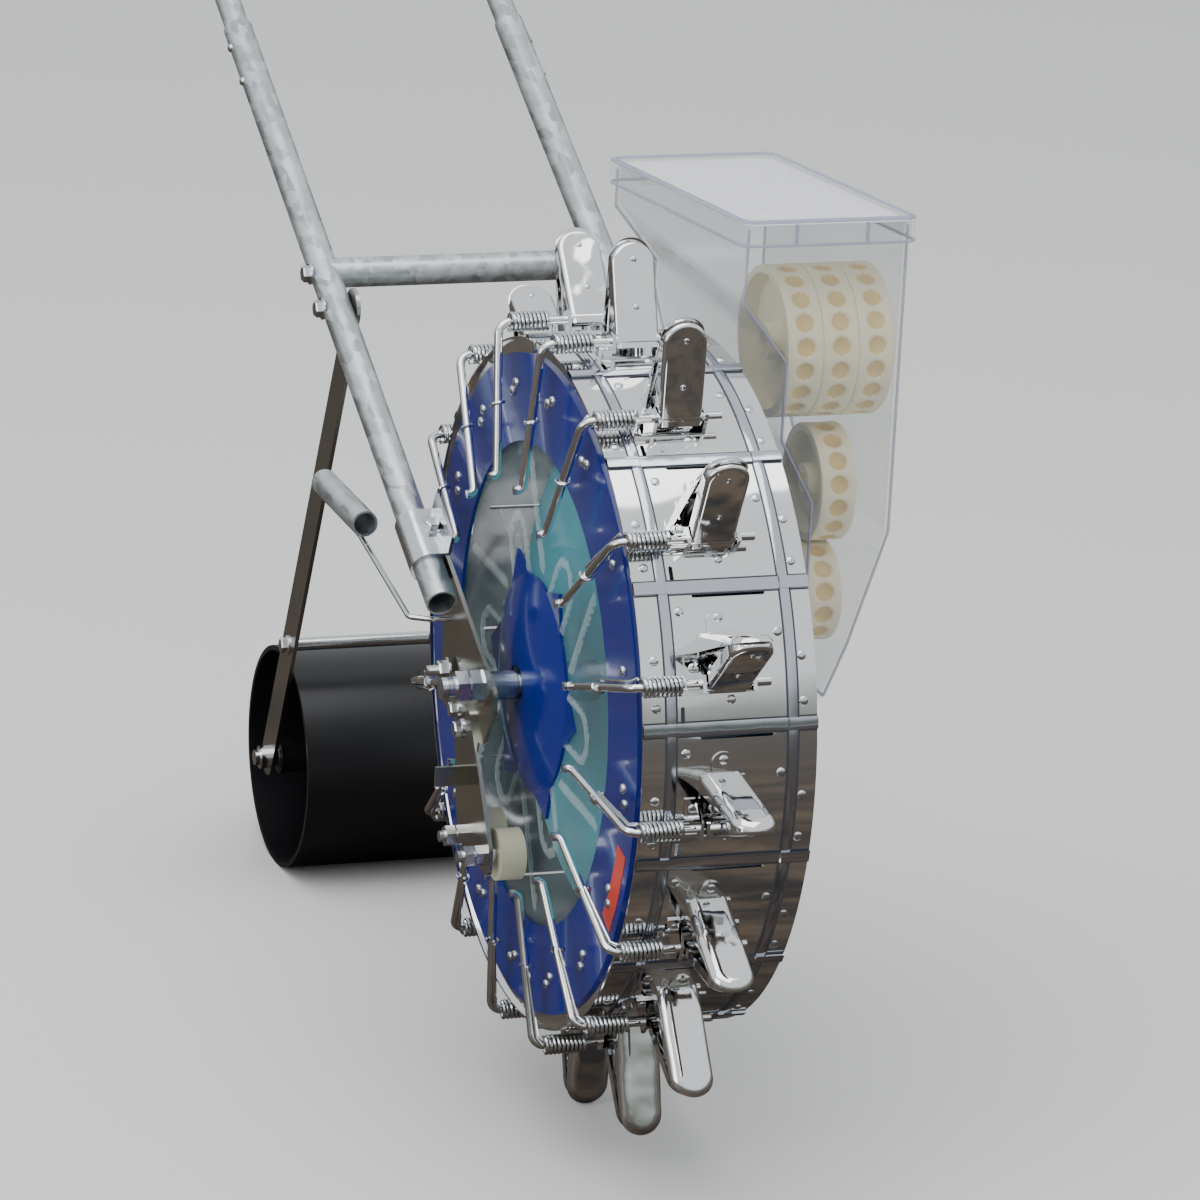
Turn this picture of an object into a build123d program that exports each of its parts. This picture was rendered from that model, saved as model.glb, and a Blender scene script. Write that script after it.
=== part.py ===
from build123d import *
import os
from math import atan2, cos, degrees, radians, sin, sqrt

# Hand-pushed duckbill drum seeder. Sizes in millimetres.
# Working frame: the axle's centre on the drum's middle plane, +X to the hopper side,
# -Y to the front, +Z up. All pieces are moved at the end so that the origin lies under
# the middle of the whole machine, on the ground.

# Drum
DRUM_R = 240.0
DRUM_W = 122.0
RIM_WALL = 1.5
FLANGE_W = 17.0
BILLS = 16
BILL_STEP = 360.0 / BILLS
RING_MARGIN = 11.0
RING_OUT_R = DRUM_R - RING_MARGIN
RING_IN_R = 168.0
RING_WALL = 2.5
WINDOW_WALL = 2.0
WINDOW_LAP = 8.0
DOME_R = 76.0
DOME_H = 11.0
STAR_R = 95.0
STAR_POINTS = 6
STAR_TURN = 2.0
HUB_R = 14.0
DISC_R = 165.0
DISC_T = 3.0
DISC_X = -14.0
SEAT = 0.3

# The rim's folds, joint bars with raised ends, and slots, once for each bill
FOLD_LEFT_X = -41.0
FOLD_RIGHT_X = 44.0
FOLD_W = 6.0
FOLD_H = 0.5
JOINT_LAG = 12.0
JOINT_W = 8.0
JOINT_H = 1.0
JOINT_END_H = 2.0
JOINT_LEFT_L = 22.0
JOINT_RIGHT_L = 20.0
SLOT_W = 2.8
LONG_SLOT_LEAD = 9.1
LONG_SLOT_X = 4.5
LONG_SLOT_L = 51.0
SHORT_SLOT_LAG = 9.9
SHORT_SLOT_X = -33.0
SHORT_SLOT_L = 12.6

# Duckbills: a fixed beak on the rim and a sprung one on a shaft beside it
BEAK_REACH = 76.0
TIP_R = DRUM_R + BEAK_REACH
BEAK_X = -5.0
BEAK_W = 31.0
BEAK_WALL = 2.0
BEAK_GAP = 0.6
BEAK_SHORT = 1.5
BEAK_TIP_ACROSS = 4.2
MOVING_BASE_ALONG = 6.0
MOVING_BASE_ACROSS = 28.0
FIXED_BASE_SINK = 2.0
FIXED_BASE_ACROSS = 14.5
TIP_ROUND = 1.55
MOVING_DEPTH = 9.5
MOVING_EDGE = 3.0
FIXED_DEPTH = 14.0
FIXED_EDGE = 8.0
SHAFT_R = 3.0
SHAFT_RISE = 10.0
SHAFT_RADIUS = DRUM_R + SHAFT_RISE
SHAFT_LAG = 5.0
SHAFT_RUN = 0.08
SHAFT_END_X = 25.0
EAR_T = 2.5
EAR_GAP = 0.8
EAR_SINK = 3.0
EAR_LAP = 6.0
FOOT_GAP = 0.05
FOOT_T = 1.5
FOOT_LEFT_X = -31.0
FOOT_FRONT = -3.0
FOOT_TAB_START = 12.0
FOOT_TAB_END = 28.0
FOOT_TAB_W = 16.5
LEVER_X = -72.0
LEVER_TIP_X = -84.0
LEVER_TIP_R = 144.0
LEVER_TIP_LAG = 4.6
LEVER_BEND_R = 9.0
LEVER_END_BEND_R = 4.5
SPRING_LEFT_X = -66.0
SPRING_RIGHT_X = -34.0
SPRING_R = 7.2
SPRING_BORE_R = 4.2

# Axle and side plates
AXLE_R = 8.0
AXLE_RUN = 0.08
AXLE_END_X = 122.0
PLATE_IN_X = 91.0
PLATE_T = 3.0
SPACER_R = 10.0
NUT_R = 12.0
NUT_T = 9.0
NUT_GAP = 1.0
WASHER_T = 3.5
WASHER_R = 14.0
PLATE_FRONT_Y = -20.0
PLATE_FRONT_LOW = -14.0
PLATE_FRONT_HIGH = 1.0
PLATE_TOP_Y = 148.0
PLATE_TOP_Z = 85.0
PLATE_BACK_Y = 160.0
PLATE_BACK_Z = 62.0
PLATE_WAIST_Y = 104.0
PLATE_WAIST_Z = 22.0
PLATE_REAR_Y = 98.0
PLATE_FOOT_Y = 2.0
PLATE_FOOT_Z = -44.0
PLATE_CORNER_R = 6.0

# Handle
TUBE_X = 108.0
TUBE_R = 11.0
TUBE_WALL = 1.5
TUBE_SLOPE = 25.84
TUBE_OFFSET = 8.9
TUBE_FOOT = 75.0
TUBE_TOP = 712.0
CROSS_AT = 427.0
CROSS_R = 11.0
UPPER_R = 9.3
UPPER_WALL = 1.5
UPPER_LAP = 80.0
UPPER_RUN = 395.0
UPPER_BEND = 16.0
UPPER_BEND_R = 90.0
UPPER_END = 165.0
GRIP_R = 14.5
GRIP_L = 125.0
GRIP_LIP = 4.0

# Clamp that holds each tube's foot on its plate
CLAMP_L = 46.0
CLAMP_T = 2.5
CLAMP_AT = 134.0
CLAMP_FLANGE = 17.0

# Press wheel behind the drum, on two flat bars
WHEEL_R = 86.0
WHEEL_Y = 526.0
WHEEL_WALL = 4.0
WHEEL_HUB_R = 13.0
WHEEL_AXLE_R = 6.0
BAR_W = 28.0
BAR_T = 3.0
WHEEL_SIDE_GAP = 6.0
WHEEL_HALF_W = TUBE_X - TUBE_R - BAR_T - WHEEL_SIDE_GAP
BAR_TOP_AT = 388.0
STAY_R = 5.0
STAY_SHARE = 0.74
WHEEL_AXLE_END = 10.0
WHEEL_NUT_R = 9.0
WHEEL_NUT_T = 6.0
WHEEL_COLLAR_R = 8.0

# Cam rollers that push the levers
CAM_R = 18.0
CAM_W = 18.0
CAM_X = -80.0
CAM_Y = 21.5
CAM_Z = -116.0
CAM_PIN_R = 4.0
CAM_PIN_END_X = -116.0
CAM_PIN_HEAD_R = 6.5
CAM_PIN_HEAD_T = 3.0
CAM_PIN_COLLAR_R = 6.0
CAM_NUT_R = 7.5
CAM_NUT_T = 7.0
CAM_NUT_STEP = 8.0
ARM_T = 3.0
ARM_TOP_FRONT = 24.0
ARM_TOP_BACK = 62.0
ARM_TOP_Z = -26.0
ARM_REAR_Y = 46.0
ARM_REAR_Z = -100.0
ARM_MARGIN = 12.5
ARM_SHOULDER = 8.0
ARM_FOOT = 12.0
ARM_CORNER_R = 6.0
ARM_TAB_L = 22.0
ARM_TAB_W = 14.0
ARM_TAB_T = 3.0
ARM_TAB_Y = 22.0
ARM_TAB_Z = -72.0

# Marker holder beside the left tube
MARKER_X = -125.0
MARKER_Y = 198.0
MARKER_Z = 58.4
MARKER_L = 106.0
MARKER_R = 9.5
MARKER_WALL = 1.5
MARKER_ROD_R = 2.0
MARKER_ROD_BEND_R = 6.0
MARKER_ROD_KNEE = (-118.0, 107.0, 17.5)
MARKER_ROD_FOOT = (-104.0, 97.0, 18.0)

# Clear hopper on the right
HOPPER_LEFT = 88.0
HOPPER_RIGHT = 206.0
HOPPER_FRONT = 21.0
HOPPER_BACK = 308.0
HOPPER_TOP_FRONT = 315.0
HOPPER_TOP_BACK = 289.5
HOPPER_WALL = 2.5
LID_T = 18.0
LID_WALL = 3.0
LID_OVER = 6.0
LID_GAP = 0.5
PANEL_MARGIN = 20.0
PANEL_H = 1.0
HINGE_R = 4.0
HINGE_L = 24.0
HOPPER_CORNER_R = 6.0
INLET_R = 94.0
INLET_T = 3.0
INLET_GAP = 5.0
DUCT_Y = 62.0
DUCT_Z = 14.0
DUCT_R = 15.0
DUCT_WALL = 2.5
BIN_LEFT = 146.0
BIN_TOP = 114.0
BIN_BACK = 96.0
BIN_FLOOR = -30.0
BACK_KNEE = 196.0
RECESS_LEFT = 121.0
RECESS_TOP = 258.0
RECESS_UPPER = 216.0
RECESS_LOWER = 160.0
TAPER_FOOT = (160.0, -40.0)
TAPER_LOW = (180.0, 8.0)
TAPER_HIGH = (206.0, 90.0)
BRACKET_Y = 48.0
BRACKET_Z = -14.0
BRACKET_W = 26.0
BRACKET_T = 3.0
SPARE_W = 26.0
SPARE_STEP = 6.0
SPARE_RIM = 6.0
SPARE_WALL = 2.0
SPARE_HUB_R = 13.0
SPARE_RADII = (36.0, 42.0, 54.0)

GROUND_Z = -TIP_R
WHEEL_Z = GROUND_Z + WHEEL_R
SIDES = {"left": -1, "right": 1}
nodes = {}


def polar(radius, angle):
    """Point (along, across) of a bill's own plane: along its radius and towards its back."""
    return radius * cos(radians(angle)), radius * sin(radians(angle))


def at_bill(number):
    """Place a piece that was made on the foremost bill at bill number 0, 1, 2 and so on."""
    return Rot(X=-number * BILL_STEP)


def rod(start, end, radius):
    """Round bar between two points."""
    line = Edge.make_line(start, end)
    return Solid.extrude(Face(Wire.make_circle(radius, Plane(start, z_dir=line % 0))), line @ 1 - line @ 0)


def pipe_x(outer, inner, low, high, y=0.0, z=0.0):
    """Pipe along X from low to high."""
    place = Pos((low + high) / 2, y, z) * Rot(Y=90)
    body = place * Cylinder(outer, high - low)
    return body - place * Cylinder(inner, high - low + 2) if inner else body


def slab_x(points, low, high, radius=0.0):
    """Plate in the side view: an outline of (y, z) points from x = low to x = high."""
    face = make_face(Polyline([(0, y, z) for y, z in points], close=True))
    body = extrude(face, amount=high - low, dir=(1, 0, 0))
    if radius:
        body = fillet(body.edges().filter_by(Axis.X), radius)
    return Pos(low, 0, 0) * body


def along_tube(distance, rise=0.0):
    """(y, z) at a distance up the handle's line, and above it."""
    slope = radians(TUBE_SLOPE)
    return (
        distance * cos(slope) - (TUBE_OFFSET + rise) * sin(slope),
        distance * sin(slope) + (TUBE_OFFSET + rise) * cos(slope),
    )


def tongue(width, length, depth, edge):
    """Bar lying on its face along +Y, with a round far end and its face edges rounded."""
    half = width / 2
    outline = Pos(0, (length - half) / 2) * Rectangle(width, length - half)
    bar = extrude(outline + Pos(0, length - half) * Circle(half), depth)
    rim = bar.faces().sort_by(Axis.Z)[0].edges().sort_by(Axis.Y)[1:]
    return fillet(rim, edge)


def beak_shell(side):
    """Thin scoop: a face from base to tip, its edges rounded over, its sides folded to the seam."""
    # columns: base along the bill's radius, base across it, tip along, tip across, depth, edge radius
    base_along, base_across, tip_along, tip_across, depth, edge = {
        -1: (DRUM_R + MOVING_BASE_ALONG, -MOVING_BASE_ACROSS, TIP_R - BEAK_SHORT, -BEAK_TIP_ACROSS,
             MOVING_DEPTH, MOVING_EDGE),
        1: (DRUM_R - FIXED_BASE_SINK, FIXED_BASE_ACROSS, TIP_R + TIP_ROUND, BEAK_TIP_ACROSS,
            FIXED_DEPTH, FIXED_EDGE),
    }[side]
    run_along, run_across = tip_along - base_along, tip_across - base_across
    length = sqrt(run_along ** 2 + run_across ** 2)
    inward = Vector(0, run_across, run_along) * (-side / length)
    face = Plane((BEAK_X, -base_along, base_across), x_dir=(side, 0, 0), z_dir=inward)
    outside = tongue(BEAK_W, length, depth, edge)
    inside = tongue(BEAK_W - 2 * BEAK_WALL, length, depth, edge - BEAK_WALL)
    shell = Location(face) * (outside - Pos(0, -BEAK_WALL, BEAK_WALL) * inside)
    seam_side = Box(2 * BEAK_W, TIP_R, 2 * BEAK_REACH)
    return shell & Pos(BEAK_X, -TIP_R, side * (BEAK_REACH + BEAK_GAP / 2)) * seam_side


def lever_path():
    """Centre line of a shaft and its lever, from the beak to the lever's bent end."""
    along, across = polar(SHAFT_RADIUS, -SHAFT_LAG)
    tip_along, tip_across = polar(LEVER_TIP_R, -LEVER_TIP_LAG)
    points = [
        (SHAFT_END_X, -along, across),
        (LEVER_X, -along, across),
        (LEVER_TIP_X + 6.0, -tip_along, tip_across),
        (LEVER_TIP_X, -tip_along, tip_across),
    ]
    return FilletPolyline(*points, radius=[LEVER_BEND_R, LEVER_END_BEND_R])


def moving_beak():
    path = lever_path()
    lever = sweep(Plane(path @ 0, z_dir=path % 0) * Circle(SHAFT_R), path=path)
    along, across = polar(SHAFT_RADIUS, -SHAFT_LAG)
    collar = pipe_x(SHAFT_R + 2.0, 0, BEAK_X - BEAK_W / 2, BEAK_X + BEAK_W / 2, -along, across)
    return beak_shell(-1) + collar + lever


def fixed_beak():
    """Beak, its riveted foot on the rim and the two ears that hold the shaft."""
    along, across = polar(SHAFT_RADIUS, -SHAFT_LAG)
    inner = BEAK_W / 2 + EAR_GAP
    ears = Part()
    for low in (BEAK_X - inner - EAR_T, BEAK_X + inner):
        outline = [(-DRUM_R + EAR_SINK, across - EAR_LAP), (-DRUM_R + EAR_SINK, FOOT_FRONT),
                   (-along - EAR_LAP, across + EAR_LAP), (-along - EAR_LAP, across - EAR_LAP)]
        ears += slab_x(outline, low, low + EAR_T)
    # columns: x from, x to, across from, across to, of the foot's front plate, middle and rear tab
    foot = Part()
    for left, right, front, back in (
        (FOOT_LEFT_X, BEAK_X + inner + EAR_T, across - EAR_LAP, FOOT_FRONT),
        (BEAK_X - BEAK_W / 2, BEAK_X + BEAK_W / 2, FOOT_FRONT, FOOT_TAB_START),
        (BEAK_X - FOOT_TAB_W / 2, BEAK_X + FOOT_TAB_W / 2, FOOT_TAB_START, FOOT_TAB_END - FOOT_TAB_W / 2),
    ):
        plate = Box(right - left, 2 * BEAK_REACH, back - front)
        foot += Pos((left + right) / 2, -DRUM_R, (front + back) / 2) * plate
    tab_end = Pos(BEAK_X, -DRUM_R, FOOT_TAB_END - FOOT_TAB_W / 2) * Rot(X=90)
    foot += tab_end * Cylinder(FOOT_TAB_W / 2, 2 * BEAK_REACH)
    foot &= pipe_x(DRUM_R + FOOT_T, DRUM_R, FOOT_LEFT_X, DRUM_W / 2)
    bore = pipe_x(SHAFT_R + SHAFT_RUN, 0, BEAK_X - BEAK_W, BEAK_X + BEAK_W, -along, across)
    return beak_shell(1) + ears + foot - pipe_x(DRUM_R + FOOT_GAP, 0, -DRUM_W / 2, DRUM_W / 2) - bore


def rim_patch(angle, width, height, low, high):
    """Raised strip across the rim, width round it and height above it, at an angle from bill number 0."""
    block = Pos((low + high) / 2, -DRUM_R, 0) * Box(high - low, 2 * height, width)
    return Rot(X=-angle) * block & pipe_x(DRUM_R + height, DRUM_R - RIM_WALL / 2, low, high)


def rim_slot(angle, length, width, x, round_the_rim):
    """Round-ended cutter through the rim at an angle from bill number 0."""
    outline = SlotOverall(length, width, rotation=90.0 if round_the_rim else 0.0)
    return Rot(X=-angle) * Pos(x, -DRUM_R, 0) * Rot(X=90) * extrude(outline, FLANGE_W / 2, both=True)


def make_drum():
    half = DRUM_W / 2
    rim = pipe_x(DRUM_R, DRUM_R - RIM_WALL, -half, half)
    flange_in = DRUM_R - FLANGE_W
    for side in SIDES.values():
        low = side * (half - RING_WALL)
        rim += pipe_x(DRUM_R - RIM_WALL / 2, flange_in, min(low, low - side * RIM_WALL),
                      max(low, low - side * RIM_WALL))
    for middle in (FOLD_LEFT_X, FOLD_RIGHT_X):
        rim += pipe_x(DRUM_R + FOLD_H, DRUM_R - RIM_WALL / 2, middle - FOLD_W / 2, middle + FOLD_W / 2)
    bars = rim_patch(-JOINT_LAG, JOINT_W, JOINT_H, -half, half)
    bars += rim_patch(-JOINT_LAG, JOINT_W, JOINT_END_H, -half, -half + JOINT_LEFT_L)
    bars += rim_patch(-JOINT_LAG, JOINT_W, JOINT_END_H, half - JOINT_RIGHT_L, half)
    slots = rim_slot(LONG_SLOT_LEAD, LONG_SLOT_L, SLOT_W, LONG_SLOT_X, False)
    slots += rim_slot(-SHORT_SLOT_LAG, SHORT_SLOT_L, SLOT_W, SHORT_SLOT_X, True)
    nodes["drum_rim"] = rim + [at_bill(number) * bars for number in range(BILLS)] - [
        at_bill(number) * slots for number in range(BILLS)]
    face = half - RING_WALL
    nodes["left_ring"] = pipe_x(RING_OUT_R, RING_IN_R, -half, -face)
    nodes["right_ring"] = pipe_x(RING_OUT_R, INLET_R + INLET_GAP, face, half)
    nodes["window"] = pipe_x(RING_IN_R + WINDOW_LAP, DOME_R - WINDOW_LAP, -face, -face + WINDOW_WALL)
    dome = pipe_x(DOME_R, 0, -half - DOME_H, -face)
    ball_r = (DOME_R ** 2 + DOME_H ** 2) / (2 * DOME_H)
    dome &= Pos(-half - DOME_H + ball_r, 0, 0) * Sphere(ball_r)
    star = []
    for point in range(2 * STAR_POINTS):
        radius = STAR_R if point % 2 == 0 else DOME_R - WINDOW_LAP
        angle = STAR_TURN + point * 180.0 / STAR_POINTS
        star.append((radius * cos(radians(angle)), radius * sin(radians(angle))))
    dome += slab_x(star, -half, -face)
    bore = AXLE_R + AXLE_RUN
    nodes["left_hub"] = dome - pipe_x(HUB_R, 0, -half - DOME_H - 2, half)
    nodes["hub_tube"] = pipe_x(HUB_R, bore, -half - DOME_H + 1.0, half)
    nodes["seed_disc"] = pipe_x(DISC_R, HUB_R, DISC_X, DISC_X + DISC_T)


def make_bills():
    spring = pipe_x(SPRING_R, SPRING_BORE_R, SPRING_LEFT_X, SPRING_RIGHT_X,
                    -polar(SHAFT_RADIUS, -SHAFT_LAG)[0], polar(SHAFT_RADIUS, -SHAFT_LAG)[1])
    fixed = fixed_beak()
    moving = moving_beak()
    fixed_all = [at_bill(number) * fixed for number in range(BILLS)]
    springs = [at_bill(number) * spring for number in range(BILLS)]
    nodes["fixed_beaks"] = Compound(children=fixed_all)
    nodes["lever_springs"] = Compound(children=springs)
    for number in range(BILLS):
        nodes[f"beak_{number + 1:02d}"] = at_bill(number) * moving


def make_axle():
    axle = pipe_x(AXLE_R, 0, -AXLE_END_X, AXLE_END_X)
    for side in SIDES.values():
        inner = PLATE_IN_X + PLATE_T
        washer_end = inner + WASHER_T
        for start in (washer_end, washer_end + NUT_T + NUT_GAP):
            nut = extrude(RegularPolygon(NUT_R, 6), NUT_T)
            axle += Pos(side * start if side > 0 else side * (start + NUT_T), 0, 0) * Rot(Y=90) * nut
        washer = sorted((side * inner, side * washer_end))
        axle += pipe_x(WASHER_R, 0, *washer)
    nodes["axle"] = axle
    half = DRUM_W / 2
    nodes["left_spacer"] = pipe_x(SPACER_R, AXLE_R, -PLATE_IN_X, -half - DOME_H - SEAT)
    nodes["right_spacer"] = pipe_x(SPACER_R, AXLE_R, half + SEAT, PLATE_IN_X)


def make_side_plates():
    # columns: y, z of the plate's corners, seen from the side
    outline = [
        (PLATE_FRONT_Y, PLATE_FRONT_LOW),
        (PLATE_FRONT_Y, PLATE_FRONT_HIGH),
        (PLATE_TOP_Y, PLATE_TOP_Z),
        (PLATE_BACK_Y, PLATE_BACK_Z),
        (PLATE_WAIST_Y, PLATE_WAIST_Z),
        (PLATE_REAR_Y, PLATE_FOOT_Z),
        (PLATE_FOOT_Y, PLATE_FOOT_Z),
    ]
    for name, side in SIDES.items():
        low = min(side * PLATE_IN_X, side * (PLATE_IN_X + PLATE_T))
        plate = slab_x(outline, low, low + PLATE_T, PLATE_CORNER_R)
        plate -= pipe_x(AXLE_R, 0, low - 1, low + PLATE_T + 1)
        if side > 0:
            plate -= pipe_x(DUCT_R, 0, low - 1, low + PLATE_T + 1, DUCT_Y, DUCT_Z)
        nodes[f"{name}_plate"] = plate


def make_handle():
    wall_r = TUBE_R - TUBE_WALL
    for name, side in SIDES.items():
        x = side * TUBE_X
        foot = (x, *along_tube(TUBE_FOOT))
        top = (x, *along_tube(TUBE_TOP))
        nodes[f"{name}_tube"] = rod(foot, top, TUBE_R) - rod(foot, top, wall_r)
        start = (x, *along_tube(TUBE_TOP - UPPER_LAP))
        knee = (x, *along_tube(TUBE_TOP + UPPER_RUN))
        slope = radians(TUBE_SLOPE - UPPER_BEND)
        end = (x, knee[1] + UPPER_END * cos(slope), knee[2] + UPPER_END * sin(slope))
        path = FilletPolyline(start, knee, end, radius=UPPER_BEND_R)
        section = Plane(path @ 0, z_dir=path % 0)
        outer = sweep(section * Circle(UPPER_R), path=path)
        inner = sweep(section * Circle(UPPER_R - UPPER_WALL), path=path)
        nodes[f"{name}_upper_tube"] = outer - inner
        back = Vector(*end)
        run = Vector(0, cos(slope), sin(slope))
        grip_start = back - run * (GRIP_L - GRIP_LIP)
        grip_end = back + run * GRIP_LIP
        grip = rod(tuple(grip_start), tuple(grip_end), GRIP_R) - rod(tuple(grip_start - run), end, UPPER_R)
        nodes[f"{name}_grip"] = grip
    y, z = along_tube(CROSS_AT)
    cross = pipe_x(CROSS_R, CROSS_R - TUBE_WALL, -TUBE_X, TUBE_X, y, z)
    for side in SIDES.values():
        x = side * TUBE_X
        cross -= rod((x, *along_tube(TUBE_FOOT)), (x, *along_tube(TUBE_TOP)), TUBE_R)
    nodes["cross_tube"] = cross


def make_clamps():
    for name, side in SIDES.items():
        x = side * TUBE_X
        low, high = CLAMP_AT - CLAMP_L / 2, CLAMP_AT + CLAMP_L / 2
        start, end = (x, *along_tube(low)), (x, *along_tube(high))
        inner = PLATE_IN_X + PLATE_T
        depth = TUBE_X - inner
        turned = Rot(X=TUBE_SLOPE)
        beside_tube = Pos(x - side * depth / 2, *along_tube(CLAMP_AT)) * turned
        legs = beside_tube * Box(depth, CLAMP_L, 2 * (TUBE_R + CLAMP_T))
        channel = beside_tube * Box(depth, CLAMP_L + 2, 2 * TUBE_R)
        on_plate = Pos(side * (inner + CLAMP_T / 2), *along_tube(CLAMP_AT)) * turned
        flanges = on_plate * Box(CLAMP_T, CLAMP_L, 2 * (TUBE_R + CLAMP_FLANGE))
        saddle = rod(start, end, TUBE_R + CLAMP_T) + legs + flanges
        nodes[f"{name}_clamp"] = saddle - channel - rod(start, end, TUBE_R)


def make_roller_arm():
    low = -(PLATE_IN_X + PLATE_T + ARM_T)
    edge = CAM_Y + ARM_MARGIN
    outline = [
        (ARM_TOP_BACK, ARM_TOP_Z),
        (ARM_TOP_FRONT, ARM_TOP_Z),
        (-edge, CAM_Z + ARM_SHOULDER),
        (-edge, CAM_Z - ARM_FOOT),
        (edge, CAM_Z - ARM_FOOT),
        (ARM_REAR_Y, ARM_REAR_Z),
    ]
    arm = slab_x(outline, low, low + ARM_T, ARM_CORNER_R)
    arm += Pos(low - ARM_TAB_L / 2, ARM_TAB_Y, ARM_TAB_Z) * Box(ARM_TAB_L + ARM_T, ARM_TAB_T, ARM_TAB_W)
    for side in (-1, 1):
        arm -= pipe_x(CAM_PIN_R, 0, low - 1, low + ARM_T + 1, side * CAM_Y, CAM_Z)
    nodes["roller_arm"] = arm
    for name, side in (("front", -1), ("rear", 1)):
        y = side * CAM_Y
        inner_face = CAM_X + CAM_W / 2
        outer_face = CAM_X - CAM_W / 2
        head_end = inner_face + CAM_PIN_HEAD_T
        pin = pipe_x(CAM_PIN_R, 0, CAM_PIN_END_X, head_end, y, CAM_Z)
        pin += pipe_x(CAM_PIN_COLLAR_R, 0, low + ARM_T, outer_face - SEAT, y, CAM_Z)
        pin += pipe_x(CAM_PIN_HEAD_R, 0, inner_face + SEAT, head_end, y, CAM_Z)
        for start in (low - CAM_NUT_T, low - CAM_NUT_T - CAM_NUT_STEP):
            pin += Pos(start, y, CAM_Z) * Rot(Y=90) * extrude(RegularPolygon(CAM_NUT_R, 6), CAM_NUT_T)
        nodes[f"{name}_cam_pin"] = pin
        nodes[f"{name}_cam_roller"] = pipe_x(CAM_R, CAM_PIN_R + AXLE_RUN, outer_face, inner_face, y, CAM_Z)


def make_press_wheel():
    top_y, top_z = along_tube(BAR_TOP_AT)
    angle = degrees(atan2(WHEEL_Z - top_z, WHEEL_Y - top_y))
    length = sqrt((WHEEL_Z - top_z) ** 2 + (WHEEL_Y - top_y) ** 2)
    mid = ((top_y + WHEEL_Y) / 2, (top_z + WHEEL_Z) / 2)
    inner_tube = TUBE_X - TUBE_R
    for name, side in SIDES.items():
        x = side * (inner_tube - BAR_T / 2)
        bar = Pos(x, *mid) * Rot(X=angle) * Box(BAR_T, length + BAR_W, BAR_W)
        bar = fillet(bar.edges().filter_by(Axis.X), BAR_W / 2 - 0.5)
        bar -= pipe_x(WHEEL_AXLE_R, 0, x - BAR_T, x + BAR_T, WHEEL_Y, WHEEL_Z)
        nodes[f"{name}_bar"] = bar
    reach = inner_tube + WHEEL_AXLE_END
    axle = pipe_x(WHEEL_AXLE_R, 0, -reach, reach, WHEEL_Y, WHEEL_Z)
    # columns: start, radius and thickness of the nut outside the bar and the collar inside it
    for start, size, thick in (
        (inner_tube, WHEEL_NUT_R, WHEEL_NUT_T),
        (WHEEL_HALF_W + SEAT, WHEEL_COLLAR_R, WHEEL_SIDE_GAP - SEAT),
    ):
        for side in SIDES.values():
            low = start if side > 0 else -(start + thick)
            axle += pipe_x(size, 0, low, low + thick, WHEEL_Y, WHEEL_Z)
    nodes["wheel_axle"] = axle
    stay_y = top_y + (WHEEL_Y - top_y) * STAY_SHARE
    stay_z = top_z + (WHEEL_Z - top_z) * STAY_SHARE
    nodes["bar_stay"] = pipe_x(STAY_R, 0, -(inner_tube - BAR_T), inner_tube - BAR_T, stay_y, stay_z)
    wheel = pipe_x(WHEEL_R, WHEEL_R - WHEEL_WALL, -WHEEL_HALF_W, WHEEL_HALF_W, WHEEL_Y, WHEEL_Z)
    wheel += pipe_x(WHEEL_R - 1, 0, -WHEEL_WALL / 2, WHEEL_WALL / 2, WHEEL_Y, WHEEL_Z)
    wheel += pipe_x(WHEEL_HUB_R, 0, -WHEEL_HALF_W, WHEEL_HALF_W, WHEEL_Y, WHEEL_Z)
    wheel -= pipe_x(WHEEL_AXLE_R + AXLE_RUN, 0, -WHEEL_HALF_W - 1, WHEEL_HALF_W + 1, WHEEL_Y, WHEEL_Z)
    nodes["press_wheel"] = wheel


def make_marker_holder():
    mid = MARKER_Y + MARKER_L / 2
    tube = Pos(MARKER_X, mid, MARKER_Z) * Rot(X=90) * Cylinder(MARKER_R, MARKER_L)
    tube -= Pos(MARKER_X, mid, MARKER_Z) * Rot(X=90) * Cylinder(MARKER_R - MARKER_WALL, MARKER_L + 2)
    nodes["marker_tube"] = tube
    under = MARKER_Z - MARKER_R - MARKER_ROD_R
    foot_x, foot_y, foot_z = MARKER_ROD_FOOT
    points = [
        (MARKER_X, MARKER_Y + MARKER_L, under),
        (MARKER_X, MARKER_Y + 2 * MARKER_ROD_BEND_R, under),
        MARKER_ROD_KNEE,
        MARKER_ROD_FOOT,
        (-(PLATE_IN_X + PLATE_T), foot_y, foot_z),
    ]
    path = FilletPolyline(*points, radius=MARKER_ROD_BEND_R)
    nodes["marker_rod"] = sweep(Plane(path @ 0, z_dir=path % 0) * Circle(MARKER_ROD_R), path=path)


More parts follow.
